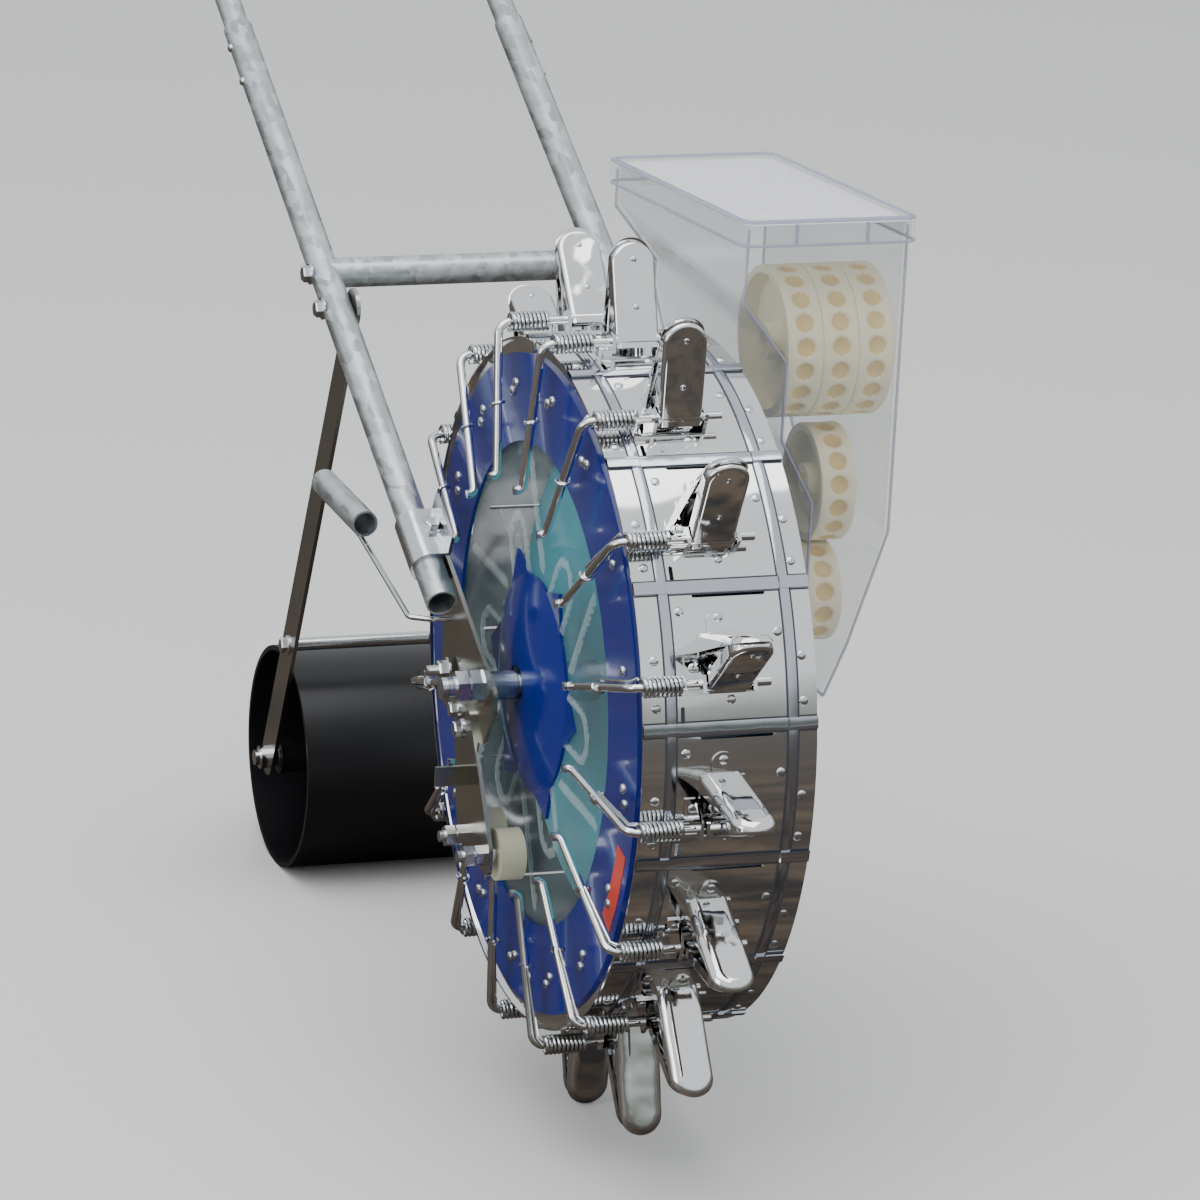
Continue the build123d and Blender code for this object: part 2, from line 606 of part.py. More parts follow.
def hopper_solid(inset):
    """The hopper's outer or inner form, drawn in by inset at each wall."""
    left, right = HOPPER_LEFT + inset, HOPPER_RIGHT - inset
    front, back = HOPPER_FRONT + inset, HOPPER_BACK - inset
    floor = BIN_FLOOR + inset
    # columns: y, z of the side view, from the top of the front wall
    side_view = [(front, HOPPER_TOP_FRONT), (front, floor), (BIN_BACK - inset, floor),
                 (back, BACK_KNEE + inset * 0.6), (back, HOPPER_TOP_BACK)]
    body = slab_x(side_view, left, right)
    # columns: x, z of the front view, which steps in on the left and tapers on the right
    top = HOPPER_TOP_FRONT + LID_T
    recess = RECESS_LEFT + inset
    foot_x, foot_z = TAPER_FOOT
    bin_left = BIN_LEFT + inset
    front_view = [(left, top), (left, RECESS_TOP + inset), (recess, RECESS_UPPER + inset),
                  (recess, RECESS_LOWER + inset), (bin_left, BIN_TOP + inset), (bin_left, foot_z),
                  (foot_x - inset, foot_z), (TAPER_LOW[0] - inset, TAPER_LOW[1]),
                  (TAPER_HIGH[0] - inset, TAPER_HIGH[1]), (right, top)]
    outline = make_face(Polyline([(x, 0, z) for x, z in front_view], close=True))
    body &= extrude(outline, amount=2 * back, dir=(0, 1, 0))
    plan = RectangleRounded(right - left, back - front, HOPPER_CORNER_R - inset)
    return body & Pos((left + right) / 2, (front + back) / 2, foot_z) * extrude(plan, top - foot_z)


def lid_axis():
    """(y, z) of the lid's hinge line, at the lower rear corner of its skirt, and the lid's slope."""
    rise = HOPPER_TOP_FRONT - HOPPER_TOP_BACK
    run = HOPPER_BACK - HOPPER_FRONT
    slope = atan2(rise, run)
    along, across = run / 2 + LID_OVER, LID_WALL - LID_T
    mid_y, mid_z = (HOPPER_FRONT + HOPPER_BACK) / 2, (HOPPER_TOP_FRONT + HOPPER_TOP_BACK) / 2 + LID_GAP
    back = along * cos(slope) + across * sin(slope)
    up = across * cos(slope) - along * sin(slope)
    return mid_y + back, mid_z + up, slope


def make_hopper():
    duct_low = DRUM_W / 2
    body = hopper_solid(0.0) - hopper_solid(HOPPER_WALL)
    body -= pipe_x(DUCT_R, 0, PLATE_IN_X, BIN_LEFT + 2 * HOPPER_WALL, DUCT_Y, DUCT_Z)
    mid_x = (HOPPER_LEFT + HOPPER_RIGHT) / 2
    hinge_y, hinge_z, _ = lid_axis()
    body += pipe_x(HINGE_R, 0, mid_x - HINGE_L / 2, mid_x + HINGE_L / 2, hinge_y, hinge_z)
    bridge = hinge_y - HOPPER_BACK + HOPPER_WALL / 2
    body += Pos(mid_x, hinge_y - bridge / 2, hinge_z - HINGE_R / 2) * Box(HINGE_L, bridge, HINGE_R)
    nodes["hopper_body"] = body
    hopper_side = BIN_LEFT + HOPPER_WALL
    nodes["seed_duct"] = pipe_x(DUCT_R, DUCT_R - DUCT_WALL, duct_low + INLET_T, hopper_side, DUCT_Y, DUCT_Z)
    cover = pipe_x(INLET_R, HUB_R + INLET_GAP, duct_low, duct_low + INLET_T)
    cover -= pipe_x(DUCT_R - DUCT_WALL, 0, duct_low - 1, duct_low + INLET_T + 1, DUCT_Y, DUCT_Z)
    nodes["inlet_cover"] = cover
    length = HOPPER_BACK - HOPPER_FRONT + 2 * LID_OVER
    width = HOPPER_RIGHT - HOPPER_LEFT + 2 * LID_OVER
    corner_r = HOPPER_CORNER_R + LID_OVER
    outline = RectangleRounded(width, length, corner_r)
    inline = RectangleRounded(width - 2 * LID_WALL, length - 2 * LID_WALL, corner_r - LID_WALL)
    panel = RectangleRounded(width - 2 * PANEL_MARGIN, length - 2 * PANEL_MARGIN, corner_r)
    lid = Pos(0, 0, LID_WALL - LID_T) * (extrude(outline, LID_T) - extrude(inline, LID_T - LID_WALL))
    lid += Pos(0, 0, LID_WALL / 2) * extrude(panel, LID_WALL / 2 + PANEL_H)
    hinge_rise = LID_WALL - LID_T
    slope = degrees(lid_axis()[2])
    lid -= pipe_x(HINGE_R + EAR_GAP, 0, -HINGE_L / 2 - EAR_GAP, HINGE_L / 2 + EAR_GAP, length / 2, hinge_rise)
    for side in SIDES.values():
        near, far = side * (HINGE_L / 2 + EAR_GAP), side * (HINGE_L / 2 + EAR_GAP + HINGE_L)
        lid += pipe_x(HINGE_R, 0, min(near, far), max(near, far), length / 2, hinge_rise)
    mid_y = (HOPPER_FRONT + HOPPER_BACK) / 2
    mid_z = (HOPPER_TOP_FRONT + HOPPER_TOP_BACK) / 2 + LID_GAP
    nodes["hopper_lid"] = Pos(mid_x, mid_y, mid_z) * Rot(X=-slope) * lid
    bracket_low, bracket_high = PLATE_IN_X + PLATE_T, BIN_LEFT
    nodes["hopper_bracket"] = Pos((bracket_low + bracket_high) / 2, BRACKET_Y, BRACKET_Z) * Box(
        bracket_high - bracket_low, BRACKET_W, BRACKET_T)


def make_spare_rollers():
    """Spare metering rollers in the hopper: one on its taper, one on that, three on the shelf above."""
    front = HOPPER_FRONT + HOPPER_WALL + SEAT
    left = BIN_LEFT + HOPPER_WALL + SEAT
    foot_x, foot_z = TAPER_FOOT
    low_x, low_z = TAPER_LOW
    reach = (left + SPARE_W + SEAT - (foot_x - HOPPER_WALL)) / (low_x - foot_x)
    taper_seat = foot_z + reach * (low_z - foot_z)
    small, middle, large = SPARE_RADII
    stacked = taper_seat + small + sqrt((small + middle + SEAT) ** 2 - (middle - small) ** 2)
    shelf_seat = RECESS_LOWER + HOPPER_WALL + SEAT
    rollers = []
    # columns: x of the left face, radius, height of the centre, rollers side by side
    for x, radius, z, count in (
        (left, small, taper_seat + small, 1),
        (left + SPARE_STEP, middle, stacked, 1),
        (RECESS_LEFT + HOPPER_WALL + SEAT, large, shelf_seat + large, 3),
    ):
        for index in range(count):
            low = x + index * (SPARE_W + SEAT)
            web = low + (SPARE_W - SPARE_WALL) / 2
            roller = pipe_x(radius, radius - SPARE_RIM, low, low + SPARE_W)
            roller += pipe_x(radius - SPARE_RIM / 2, 0, web, web + SPARE_WALL)
            roller += pipe_x(SPARE_HUB_R, 0, low, low + SPARE_W)
            rollers.append(Pos(0, front + radius, z) * (roller - pipe_x(AXLE_R, 0, low, low + SPARE_W)))
    nodes["spare_rollers"] = Compound(children=rollers)


make_drum()
make_bills()
make_axle()
make_side_plates()
make_handle()
make_clamps()
make_roller_arm()
make_press_wheel()
make_marker_holder()
make_hopper()
make_spare_rollers()

corners = [shape.bounding_box() for shape in nodes.values()]
low = Vector(*(min(getattr(box.min, axis) for box in corners) for axis in "XYZ"))
high = Vector(*(max(getattr(box.max, axis) for box in corners) for axis in "XYZ"))
origin_shift = Vector(-(low.X + high.X) / 2, -(low.Y + high.Y) / 2, -low.Z)

os.makedirs("parts", exist_ok=True)
for name, shape in nodes.items():
    export_step(Pos(*origin_shift) * shape, f"parts/{name}.step")
print("axle centre at", tuple(round(value, 3) for value in origin_shift))
print("size", tuple(round(value, 1) for value in high - low))
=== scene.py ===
import math

import bmesh
import bpy
from bpy.props import FloatProperty, FloatVectorProperty, IntProperty, PointerProperty
from mathutils import Matrix, Vector


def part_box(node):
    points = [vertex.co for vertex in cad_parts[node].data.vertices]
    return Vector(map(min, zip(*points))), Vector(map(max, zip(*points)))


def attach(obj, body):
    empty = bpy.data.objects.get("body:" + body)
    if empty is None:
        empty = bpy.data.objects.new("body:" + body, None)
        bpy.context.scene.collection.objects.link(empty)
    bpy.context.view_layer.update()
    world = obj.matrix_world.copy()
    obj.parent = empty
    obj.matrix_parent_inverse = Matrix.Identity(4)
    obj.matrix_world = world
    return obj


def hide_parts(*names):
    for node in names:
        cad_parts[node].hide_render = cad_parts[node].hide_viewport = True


bl_info = {
    "name": "Hand Seeder",
    "version": (1, 0, 0),
    "blender": (4, 5, 0),
    "location": "3D View > Sidebar > Seeder",
    "description": "Finishes and fine pieces of a hand-pushed drum seeder",
    "category": "Object",
}

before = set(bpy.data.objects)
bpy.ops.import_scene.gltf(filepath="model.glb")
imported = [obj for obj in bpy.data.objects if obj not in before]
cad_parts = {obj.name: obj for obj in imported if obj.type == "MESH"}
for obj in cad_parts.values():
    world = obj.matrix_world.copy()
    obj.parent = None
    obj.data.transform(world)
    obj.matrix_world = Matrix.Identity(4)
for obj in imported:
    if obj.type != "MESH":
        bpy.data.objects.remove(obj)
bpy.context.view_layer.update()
MM = 0.001
AXLE_LOW, AXLE_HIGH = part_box("axle")
HUB = (AXLE_LOW + AXLE_HIGH) / 2

# The drum, in millimetres about the axle's middle: angles in degrees from a bill, towards its back
BILLS = 16
BILL_STEP = 360.0 / BILLS
RIM_R = 240.0
RING_FACE_X = -61.0
SHAFT_R_PLACE = 250.0
SHAFT_LAG = 5.0
LEVER_X = (-72.0, -78.0)
LEVER_R = (250.0, 144.0)
LEVER_LAG = (5.0, 4.6)
FACE_BASE = (246.0, -28.0)
FACE_TIP = (314.5, -4.2)
BEAK_X = -5.0
TUBE_SLOPE = 25.84
TUBE_OFFSET = 8.9
TUBE_X = 108.0
TUBE_R = 11.0
PLATE_X = 94.0

# The window between the blue hub and ring
WINDOW_IN_R = 68.0
WINDOW_OUT_R = 176.0
WINDOW_FACE_X = -58.5
WINDOW_WALL = 2.0

# The lid: its middle, size and slope
LID_MIDDLE = (147.0, 164.5, 302.75)
LID_W = 130.0
LID_L = 299.0
LID_T = 18.0
LID_SLOPE = math.degrees(math.atan2(25.5, 287.0))


class SeederSizes(bpy.types.PropertyGroup):
    """Sizes of the fine pieces."""

    rivet_radius: FloatProperty(
        name="Rivet radius", description="Radius of a rim rivet's head", default=0.0032, unit="LENGTH"
    )
    rivet_height: FloatProperty(
        name="Rivet height", description="Height of a rim rivet's head", default=0.0014, unit="LENGTH"
    )
    spring_wire: FloatProperty(
        name="Spring wire", description="Diameter of the lever springs' wire", default=0.0026, unit="LENGTH"
    )
    spring_width: FloatProperty(
        name="Spring width",
        description="Outside diameter of the lever springs",
        default=0.0144,
        unit="LENGTH",
    )
    spring_turns: FloatProperty(name="Spring turns", description="Turns in a lever spring", default=9.5)
    cup_width: FloatProperty(
        name="Cup width", description="Width of a seed cup in a roller", default=0.0145, unit="LENGTH"
    )
    cup_depth: FloatProperty(
        name="Cup depth", description="Depth of a seed cup in a roller", default=0.0036, unit="LENGTH"
    )
    grip_ribs: IntProperty(name="Grip ribs", description="Ribs on each handle grip", default=17)


class SeederColours(bpy.types.PropertyGroup):
    """Colours of the finishes."""

    blue: FloatVectorProperty(
        name="Blue", description="Rings and hub", default=(0.004, 0.017, 0.215), subtype="COLOR"
    )
    teal: FloatVectorProperty(
        name="Teal", description="Seed disc inside the drum", default=(0.01, 0.52, 0.66), subtype="COLOR"
    )
    ivory: FloatVectorProperty(
        name="Ivory", description="Metering rollers", default=(0.98, 0.91, 0.64), subtype="COLOR"
    )
    # Darker, warmer colour of the roller cups: painted shade in the cups
    cup_shade: FloatVectorProperty(
        name="Painted cup shade", description="Cups of the metering rollers", default=(0.92, 0.66, 0.26), subtype="COLOR"
    )
    nylon: FloatVectorProperty(
        name="Cream nylon", description="Cam rollers", default=(0.52, 0.49, 0.36), subtype="COLOR"
    )
    black: FloatVectorProperty(
        name="Black", description="Press wheel", default=(0.005, 0.005, 0.007), subtype="COLOR"
    )
    patch: FloatVectorProperty(
        name="Patch", description="Plain patch on the left ring", default=(0.62, 0.045, 0.02), subtype="COLOR"
    )


class SeederStage(bpy.types.PropertyGroup):
    """Floor, light and camera."""

    floor: FloatVectorProperty(
        name="Floor", description="Colour of the floor", default=(0.80, 0.79, 0.775), subtype="COLOR"
    )
    sky: FloatProperty(name="Sky", description="Strength of the light from all round", default=1.0)
    softbox: FloatProperty(
        name="Softbox", description="Power of the overhead softbox", default=70.0, unit="POWER"
    )
    lens: FloatProperty(
        name="Lens", description="Focal length on a 36 mm sensor", default=197.3, subtype="DISTANCE_CAMERA"
    )


def on_bill(radius, lag, x=0.0):
    """Point at a radius and an angle from bill 0, which points forward; minus is its underside."""
    angle = math.radians(lag)
    return Vector((x, -radius * math.cos(angle), radius * math.sin(angle)))


def along_tube(distance, rise=0.0, x=0.0):
    """Point up the handle's line, and above it."""
    slope = math.radians(TUBE_SLOPE)
    return Vector((
        x,
        distance * math.cos(slope) - (TUBE_OFFSET + rise) * math.sin(slope),
        distance * math.sin(slope) + (TUBE_OFFSET + rise) * math.cos(slope),
    ))


def on_lid(x, y, z):
    """Point on the lid: across it, along it from its middle and above its underside."""
    turn = Matrix.Rotation(-math.radians(LID_SLOPE), 3, "X")
    return Vector(LID_MIDDLE) + turn @ Vector((x, y, z))


def square_axes(axis):
    """Two directions square to an axis and to each other."""
    axis = Vector(axis).normalized()
    side = Vector((0, 0, 1)) if abs(axis.z) < 0.9 else Vector((0, 1, 0))
    across = axis.cross(side).normalized()
    return axis, across, axis.cross(across)


class Shape:
    """A mesh in the making, in millimetres about the axle's middle."""

    def __init__(self):
        self.mesh = bmesh.new()
        self.slot = 0

    def face(self, corners):
        made = self.mesh.faces.new(corners)
        made.material_index = self.slot
        made.smooth = True
        return made

    def skin(self, rings, capped=True, looped=False, closed=True):
        """Skin over rings of points that have as many points each."""
        loops = [[self.mesh.verts.new(point) for point in ring] for ring in rings]
        count = len(loops[0])
        pairs = list(zip(loops, loops[1:]))
        if looped:
            pairs.append((loops[-1], loops[0]))
        for low, high in pairs:
            for index in range(count if closed else count - 1):
                after = (index + 1) % count
                self.face((low[index], low[after], high[after], high[index]))
        if capped and not looped:
            self.face(tuple(reversed(loops[0])))
            self.face(tuple(loops[-1]))

    def lathe(self, profile, start, axis, sides=24, capped=True, looped=False):
        """Turned form: (along, radius) points about an axis from a start point."""
        axis, across, up = square_axes(axis)
        start = Vector(start)
        rings = []
        for along, radius in profile:
            ring = []
            for index in range(sides):
                angle = math.tau * index / sides
                ring.append(start + axis * along + (across * math.cos(angle) + up * math.sin(angle)) * radius)
            rings.append(ring)
        self.skin(rings, capped, looped)

    def wire(self, points, radius, sides=10, looped=False):
        """Round wire along a line of points."""
        points = [Vector(point) for point in points]
        count = len(points)
        rings = []
        across = None
        for index, point in enumerate(points):
            if looped:
                run = points[(index + 1) % count] - points[index - 1]
            else:
                run = points[min(index + 1, count - 1)] - points[max(index - 1, 0)]
            run.normalize()
            if across is None:
                across = square_axes(run)[1]
            across = (across - run * across.dot(run)).normalized()
            up = run.cross(across)
            ring = []
            for turn in range(sides):
                angle = math.tau * turn / sides
                ring.append(point + (across * math.cos(angle) + up * math.sin(angle)) * radius)
            rings.append(ring)
        self.skin(rings, True, looped)

    def slab(self, outline, start, across, up, depth):
        """Plate with an outline of (across, up) points, as thick as depth along across x up."""
        start, across, up = Vector(start), Vector(across).normalized(), Vector(up).normalized()
        normal = across.cross(up)
        rings = [
            [start + across * a + up * b + normal * level for a, b in outline] for level in (0.0, depth)
        ]
        self.skin(rings)

    def rivet(self, point, axis, radius, height, sides=14):
        steps = [(0.0 - height * 0.3, 1.0), (height * 0.25, 1.0), (height * 0.62, 0.86), (height * 0.9, 0.55),
                 (height, 0.2)]
        self.lathe([(along, radius * share) for along, share in steps], point, axis, sides)

    def hex_head(self, point, axis, radius, height, washer=0.0):
        """Bolt head or nut with its top corners turned off, on a washer where one is given."""
        base = 0.0
        if washer:
            self.lathe([(0.0, washer), (1.2, washer), (1.6, washer - 0.4)], point, axis, 24)
            base = 1.6
        self.lathe(
            [(base, radius), (base + height * 0.82, radius), (base + height, radius * 0.86)], point, axis, 6
        )

    def thread(self, point, axis, radius, length, pitch=1.25):
        """Threaded rod's end."""
        profile = []
        turns = max(2, int(length / pitch))
        for turn in range(turns):
            profile.append((turn * pitch, radius * 0.9))
            profile.append((turn * pitch + pitch / 2, radius))
        profile.append((turns * pitch, radius * 0.8))
        self.lathe(profile, point, axis, 16)

    def round_the_drum(self):
        """Repeat what has been made so far at every bill."""
        made = list(self.mesh.verts) + list(self.mesh.edges) + list(self.mesh.faces)
        for number in range(1, BILLS):
            copy = bmesh.ops.duplicate(self.mesh, geom=made)["geom"]
            points = [item for item in copy if isinstance(item, bmesh.types.BMVert)]
            turn = Matrix.Rotation(-math.radians(number * BILL_STEP), 3, "X")
            bmesh.ops.rotate(self.mesh, verts=points, cent=(0, 0, 0), matrix=turn)

    def at_bill(self, number):
        turn = Matrix.Rotation(-math.radians(number * BILL_STEP), 3, "X")
        bmesh.ops.rotate(self.mesh, verts=list(self.mesh.verts), cent=(0, 0, 0), matrix=turn)

    def finish(self, name, body, finish_names, slot, replaced=(), crease=35.0):
        """Turn the mesh into a piece in metres that rides on a body."""
        bmesh.ops.recalc_face_normals(self.mesh, faces=list(self.mesh.faces))
        data = bpy.data.meshes.new(name)
        self.mesh.transform(Matrix.Translation(HUB) @ Matrix.Scale(MM, 4))
        self.mesh.to_mesh(data)
        self.mesh.free()
        data.set_sharp_from_angle(angle=math.radians(crease))
        for key in finish_names:
            data.materials.append(finishes[key])
        piece = bpy.data.objects.new(name, data)
        bpy.context.scene.collection.objects.link(piece)
        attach(piece, body)
        if replaced:
            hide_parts(*replaced)
        return piece


class Value:
    """A shader socket that takes part in Python arithmetic."""

    def __init__(self, nodes, socket):
        self.nodes = nodes
        self.socket = socket

    def math(self, operation, *others, turned=False):
        terms = [*others, self] if turned else [self, *others]
        return self.nodes.node("ShaderNodeMath", {"operation": operation}, dict(enumerate(terms)))

    def __add__(self, other):
        return self.math("ADD", other)

    def __sub__(self, other):
        return self.math("SUBTRACT", other)

    def __mul__(self, other):
        return self.math("MULTIPLY", other)

    def __truediv__(self, other):
        return self.math("DIVIDE", other)

    def __pow__(self, other):
        return self.math("POWER", other)

    def __radd__(self, other):
        return self.math("ADD", other, turned=True)

    def __rsub__(self, other):
        return self.math("SUBTRACT", other, turned=True)

    def __rmul__(self, other):
        return self.math("MULTIPLY", other, turned=True)

    def __rtruediv__(self, other):
        return self.math("DIVIDE", other, turned=True)

    def __rpow__(self, other):
        return self.math("POWER", other, turned=True)

    def clamped(self, low=0.0, high=1.0):
        return self.math("MAXIMUM", low).math("MINIMUM", high)


class Nodes:
    """A node tree while its nodes are being made."""

    def __init__(self, tree):
        self.tree = tree

    def node(self, kind, settings=None, inputs=None, output=0):
        """Add a node: its settings first, then the values or links of its sockets."""
        made = self.tree.nodes.new(kind)
        for name, value in (settings or {}).items():
            setattr(made, name, value)
        for name, value in (inputs or {}).items():
            self.feed(made.inputs[name], value)
        return Value(self, made.outputs[output])

    def feed(self, socket, value):
        """Link a Value to a socket, or set a plain number or colour on it."""
        if isinstance(value, Value):
            self.tree.links.new(value.socket, socket)
        elif not isinstance(value, (int, float)) and len(value) == 3 and len(socket.default_value) == 4:
            socket.default_value = (*value, 1.0)
        else:
            socket.default_value = value

    def mix(self, factor, low, high):
        """Colour between low and high."""
        return self.node("ShaderNodeMix", {"data_type": "RGBA"}, {0: factor, 6: low, 7: high}, 2)


class Finish(Nodes):
    """One material while its nodes are being made."""

    def __init__(self, name):
        self.material = bpy.data.materials.new(name)
        self.material.use_nodes = True
        super().__init__(self.material.node_tree)
        self.shader = next(node for node in self.tree.nodes if node.type == "BSDF_PRINCIPLED")

    def set(self, **inputs):
        """Feed the main shader; underscores in the names stand for spaces."""
        for name, value in inputs.items():
            self.feed(self.shader.inputs[name.replace("_", " ")], value)
        return self

    def place(self, scale=(1.0, 1.0, 1.0), turn=(0.0, 0.0, 0.0)):
        """Place on the piece itself, in metres, stretched and turned."""
        here = self.node("ShaderNodeTexCoord", output="Object")
        return self.node("ShaderNodeMapping", {}, {"Vector": here, "Scale": scale, "Rotation": turn})

    def noise(self, scale, detail=3.0, roughness=0.5, place=None):
        return self.node(
            "ShaderNodeTexNoise",
            {},
            {"Vector": place or self.place(), "Scale": scale, "Detail": detail, "Roughness": roughness},
            "Fac",
        )

    def bump(self, height, distance, strength=1.0, below=None):
        inputs = {"Height": height, "Distance": distance, "Strength": strength}
        if below is not None:
            inputs["Normal"] = below
        return self.node("ShaderNodeBump", {}, inputs)


def bright_metal(name, colour, roughness, wave=0.0, wave_scale=12.0, grain=0.00001, dull=0.85):
    """Bare or plated metal: slow waves bend the reflections, fine grain breaks them up."""
    finish = Finish(name)
    smear = finish.noise(22.0, 4.0, 0.6)
    normal = finish.bump(finish.noise(900.0, 2.0), grain)
    if wave:
        normal = finish.bump(finish.noise(wave_scale, 1.5, 0.4), wave, 1.0, normal)
    darker = tuple(dull * part for part in colour)
    finish.set(
        Base_Color=finish.mix(smear, darker, colour),
        Roughness=roughness * 0.7 + smear * (roughness * 0.6),
        Normal=normal,
    )
    finish.set(Metallic=1.0)
    return finish.material


def moulded_plastic(name, colour, roughness, mottle=0.15, grain=0.00002, coat=0.0):
    """Opaque moulding with a faint cloud in its colour and gloss."""
    finish = Finish(name)
    cloud = finish.noise(14.0, 3.0)
    darker = tuple((1.0 - mottle) * part for part in colour)
    finish.set(
        Base_Color=finish.mix(cloud, darker, tuple(colour)),
        Roughness=roughness * 0.8 + cloud * (roughness * 0.4),
        Normal=finish.bump(finish.noise(600.0, 2.0), grain),
        Coat_Weight=coat,
    )
    return finish.material


def clear_plastic(name, colour, face_alpha, edge_alpha, roughness=0.08, wave=0.0004):
    """Clear moulding: seen through face on, and more opaque and whiter where it is seen edge on, painted in
    for its stronger reflection there.
    """
    finish = Finish(name)
    edge = finish.node("ShaderNodeLayerWeight", {}, {"Blend": 0.4}, "Facing")
    smear = finish.noise(9.0, 3.0)
    # Alpha grows with a glancing view, so the pale colour shows there as painted reflection
    alpha = face_alpha + edge ** 2.0 * (edge_alpha - face_alpha) + smear * 0.05
    finish.set(
        Base_Color=colour,
        Roughness=roughness + smear * 0.06,
        Alpha=alpha.clamped(),
        Normal=finish.bump(finish.noise(25.0, 1.0), wave),
    )
    finish.set(Specular_IOR_Level=0.9)
    return finish.material


def galvanised(name):
    """Zinc spangles drawn out along the tube."""
    finish = Finish(name)
    slope = math.radians(TUBE_SLOPE)
    place = finish.place((170.0, 55.0, 170.0), (-slope, 0.0, 0.0))
    spangle = finish.node("ShaderNodeTexVoronoi", {}, {"Vector": place, "Scale": 1.0}, "Color")
    tone = finish.node("ShaderNodeSeparateColor", {}, {"Color": spangle})
    cloud = finish.noise(30.0, 4.0)
    finish.set(
        Base_Color=finish.mix(tone * 0.7 + cloud * 0.3, (0.40, 0.44, 0.46), (0.74, 0.78, 0.80)),
        Roughness=0.26 + tone * 0.22,
        Normal=finish.bump(tone, 0.00006),
    )
    finish.set(Metallic=0.9)
    return finish.material


def make_finishes(colours):
    """Every finish by its plain name."""
    return {
        "mirror steel": bright_metal("mirror_steel", (0.88, 0.88, 0.88), 0.07, 0.0014, 14.0, 0.000002),
        "chrome": bright_metal("chrome", (0.88, 0.88, 0.89), 0.05, 0.0011, 36.0),
        "strip steel": bright_metal("strip_steel", (0.60, 0.63, 0.70), 0.12, 0.0008, 40.0, 0.000002),
        "zinc": bright_metal("zinc", (0.74, 0.76, 0.78), 0.16, 0.0003, 60.0, 0.00004),
        "plate steel": bright_metal("plate_steel", (0.50, 0.50, 0.44), 0.22, 0.0006, 14.0, 0.00004),
        "galvanised": galvanised("galvanised"),
        "blue": moulded_plastic("blue_plastic", colours.blue, 0.2, 0.3, coat=0.35),
        "teal": moulded_plastic("teal_plastic", colours.teal, 0.35, 0.3),
        "black": moulded_plastic("black_plastic", colours.black, 0.36, 0.3),
        "clear": clear_plastic("clear_plastic", (0.62, 0.67, 0.71), 0.06, 0.52),
        "window clear": clear_plastic("window_plastic", (0.30, 0.40, 0.42), 0.04, 0.20, 0.06, 0.0008),
        # Paler, less clear finish of the window's raised ribs: painted highlight on the ribs
        "window rib highlight": clear_plastic("window_rib_highlight", (0.74, 0.84, 0.87), 0.15, 0.48, 0.05, 0.0008),
        "lid clear": clear_plastic("lid_plastic", (0.86, 0.85, 0.95), 0.05, 0.30),
        "lid frost": moulded_plastic("lid_frost", (1.0, 1.0, 0.985), 0.3, 0.02),
        "clear edge": clear_plastic("clear_edge", (0.46, 0.45, 0.60), 0.55, 0.9, 0.05),
        # Dark finish of the strips beside the rim's folds and joint strips: painted shade of their creases
        "seam": moulded_plastic("painted_crease_shade", (0.05, 0.055, 0.075), 0.45, 0.3),
        "nylon": moulded_plastic("cream_nylon", colours.nylon, 0.42, 0.12),
        "ivory": moulded_plastic("ivory_plastic", colours.ivory, 0.38, 0.08),
        # Painted shade in the metering rollers' cups
        "cup_shade": moulded_plastic("painted_cup_shade", colours.cup_shade, 0.3, 0.25),
        "rubber": moulded_plastic("grip_rubber", (0.018, 0.018, 0.018), 0.65, 0.3, 0.0001),
        "patch": moulded_plastic("plain_patch", colours.patch, 0.35, 0.2),
        "spacer grey": bright_metal("spacer_grey", (0.36, 0.42, 0.52), 0.2),
    }


finishes = {}

# columns: node's plain name, finish
NODE_FINISH = {
    "axle": "zinc",
    "beak": "chrome",
    "fixed_beaks": "chrome",
    "lever_springs": "zinc",
    "drum_rim": "mirror steel",
    "left_ring": "blue",
    "right_ring": "blue",
    "left_hub": "blue",
    "hub_tube": "spacer grey",
    "seed_disc": "teal",
    "window": "window clear",
    "inlet_cover": "blue",
    "seed_duct": "clear",
    "hopper_body": "clear",
    "hopper_lid": "lid clear",
    "spare_rollers": "ivory",
    "front_cam_roller": "nylon",
    "rear_cam_roller": "nylon",
    "press_wheel": "black",
    "left_grip": "rubber",
    "right_grip": "rubber",
    "left_tube": "galvanised",
    "right_tube": "galvanised",
    "left_upper_tube": "galvanised",
    "right_upper_tube": "galvanised",
    "cross_tube": "galvanised",
    "marker_tube": "galvanised",
    "left_plate": "plate steel",
    "right_plate": "plate steel",
    "roller_arm": "plate steel",
    "left_bar": "plate steel",
    "right_bar": "plate steel",
    "left_spacer": "spacer grey",
    "right_spacer": "spacer grey",
}


class SEEDER_OT_dress(bpy.types.Operator):
    """Give every carried-over node its finish."""

    bl_idname = "seeder.dress"
    bl_label = "Finish the Frame's Pieces"

    def execute(self, context):
        finishes.update(make_finishes(context.scene.seeder_colours))
        for name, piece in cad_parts.items():
            plain = name.rstrip("0123456789").rstrip("_")
            key = NODE_FINISH.get(name) or NODE_FINISH.get(plain) or "zinc"
            piece.data.materials.clear()
            piece.data.materials.append(finishes[key])
        return {"FINISHED"}


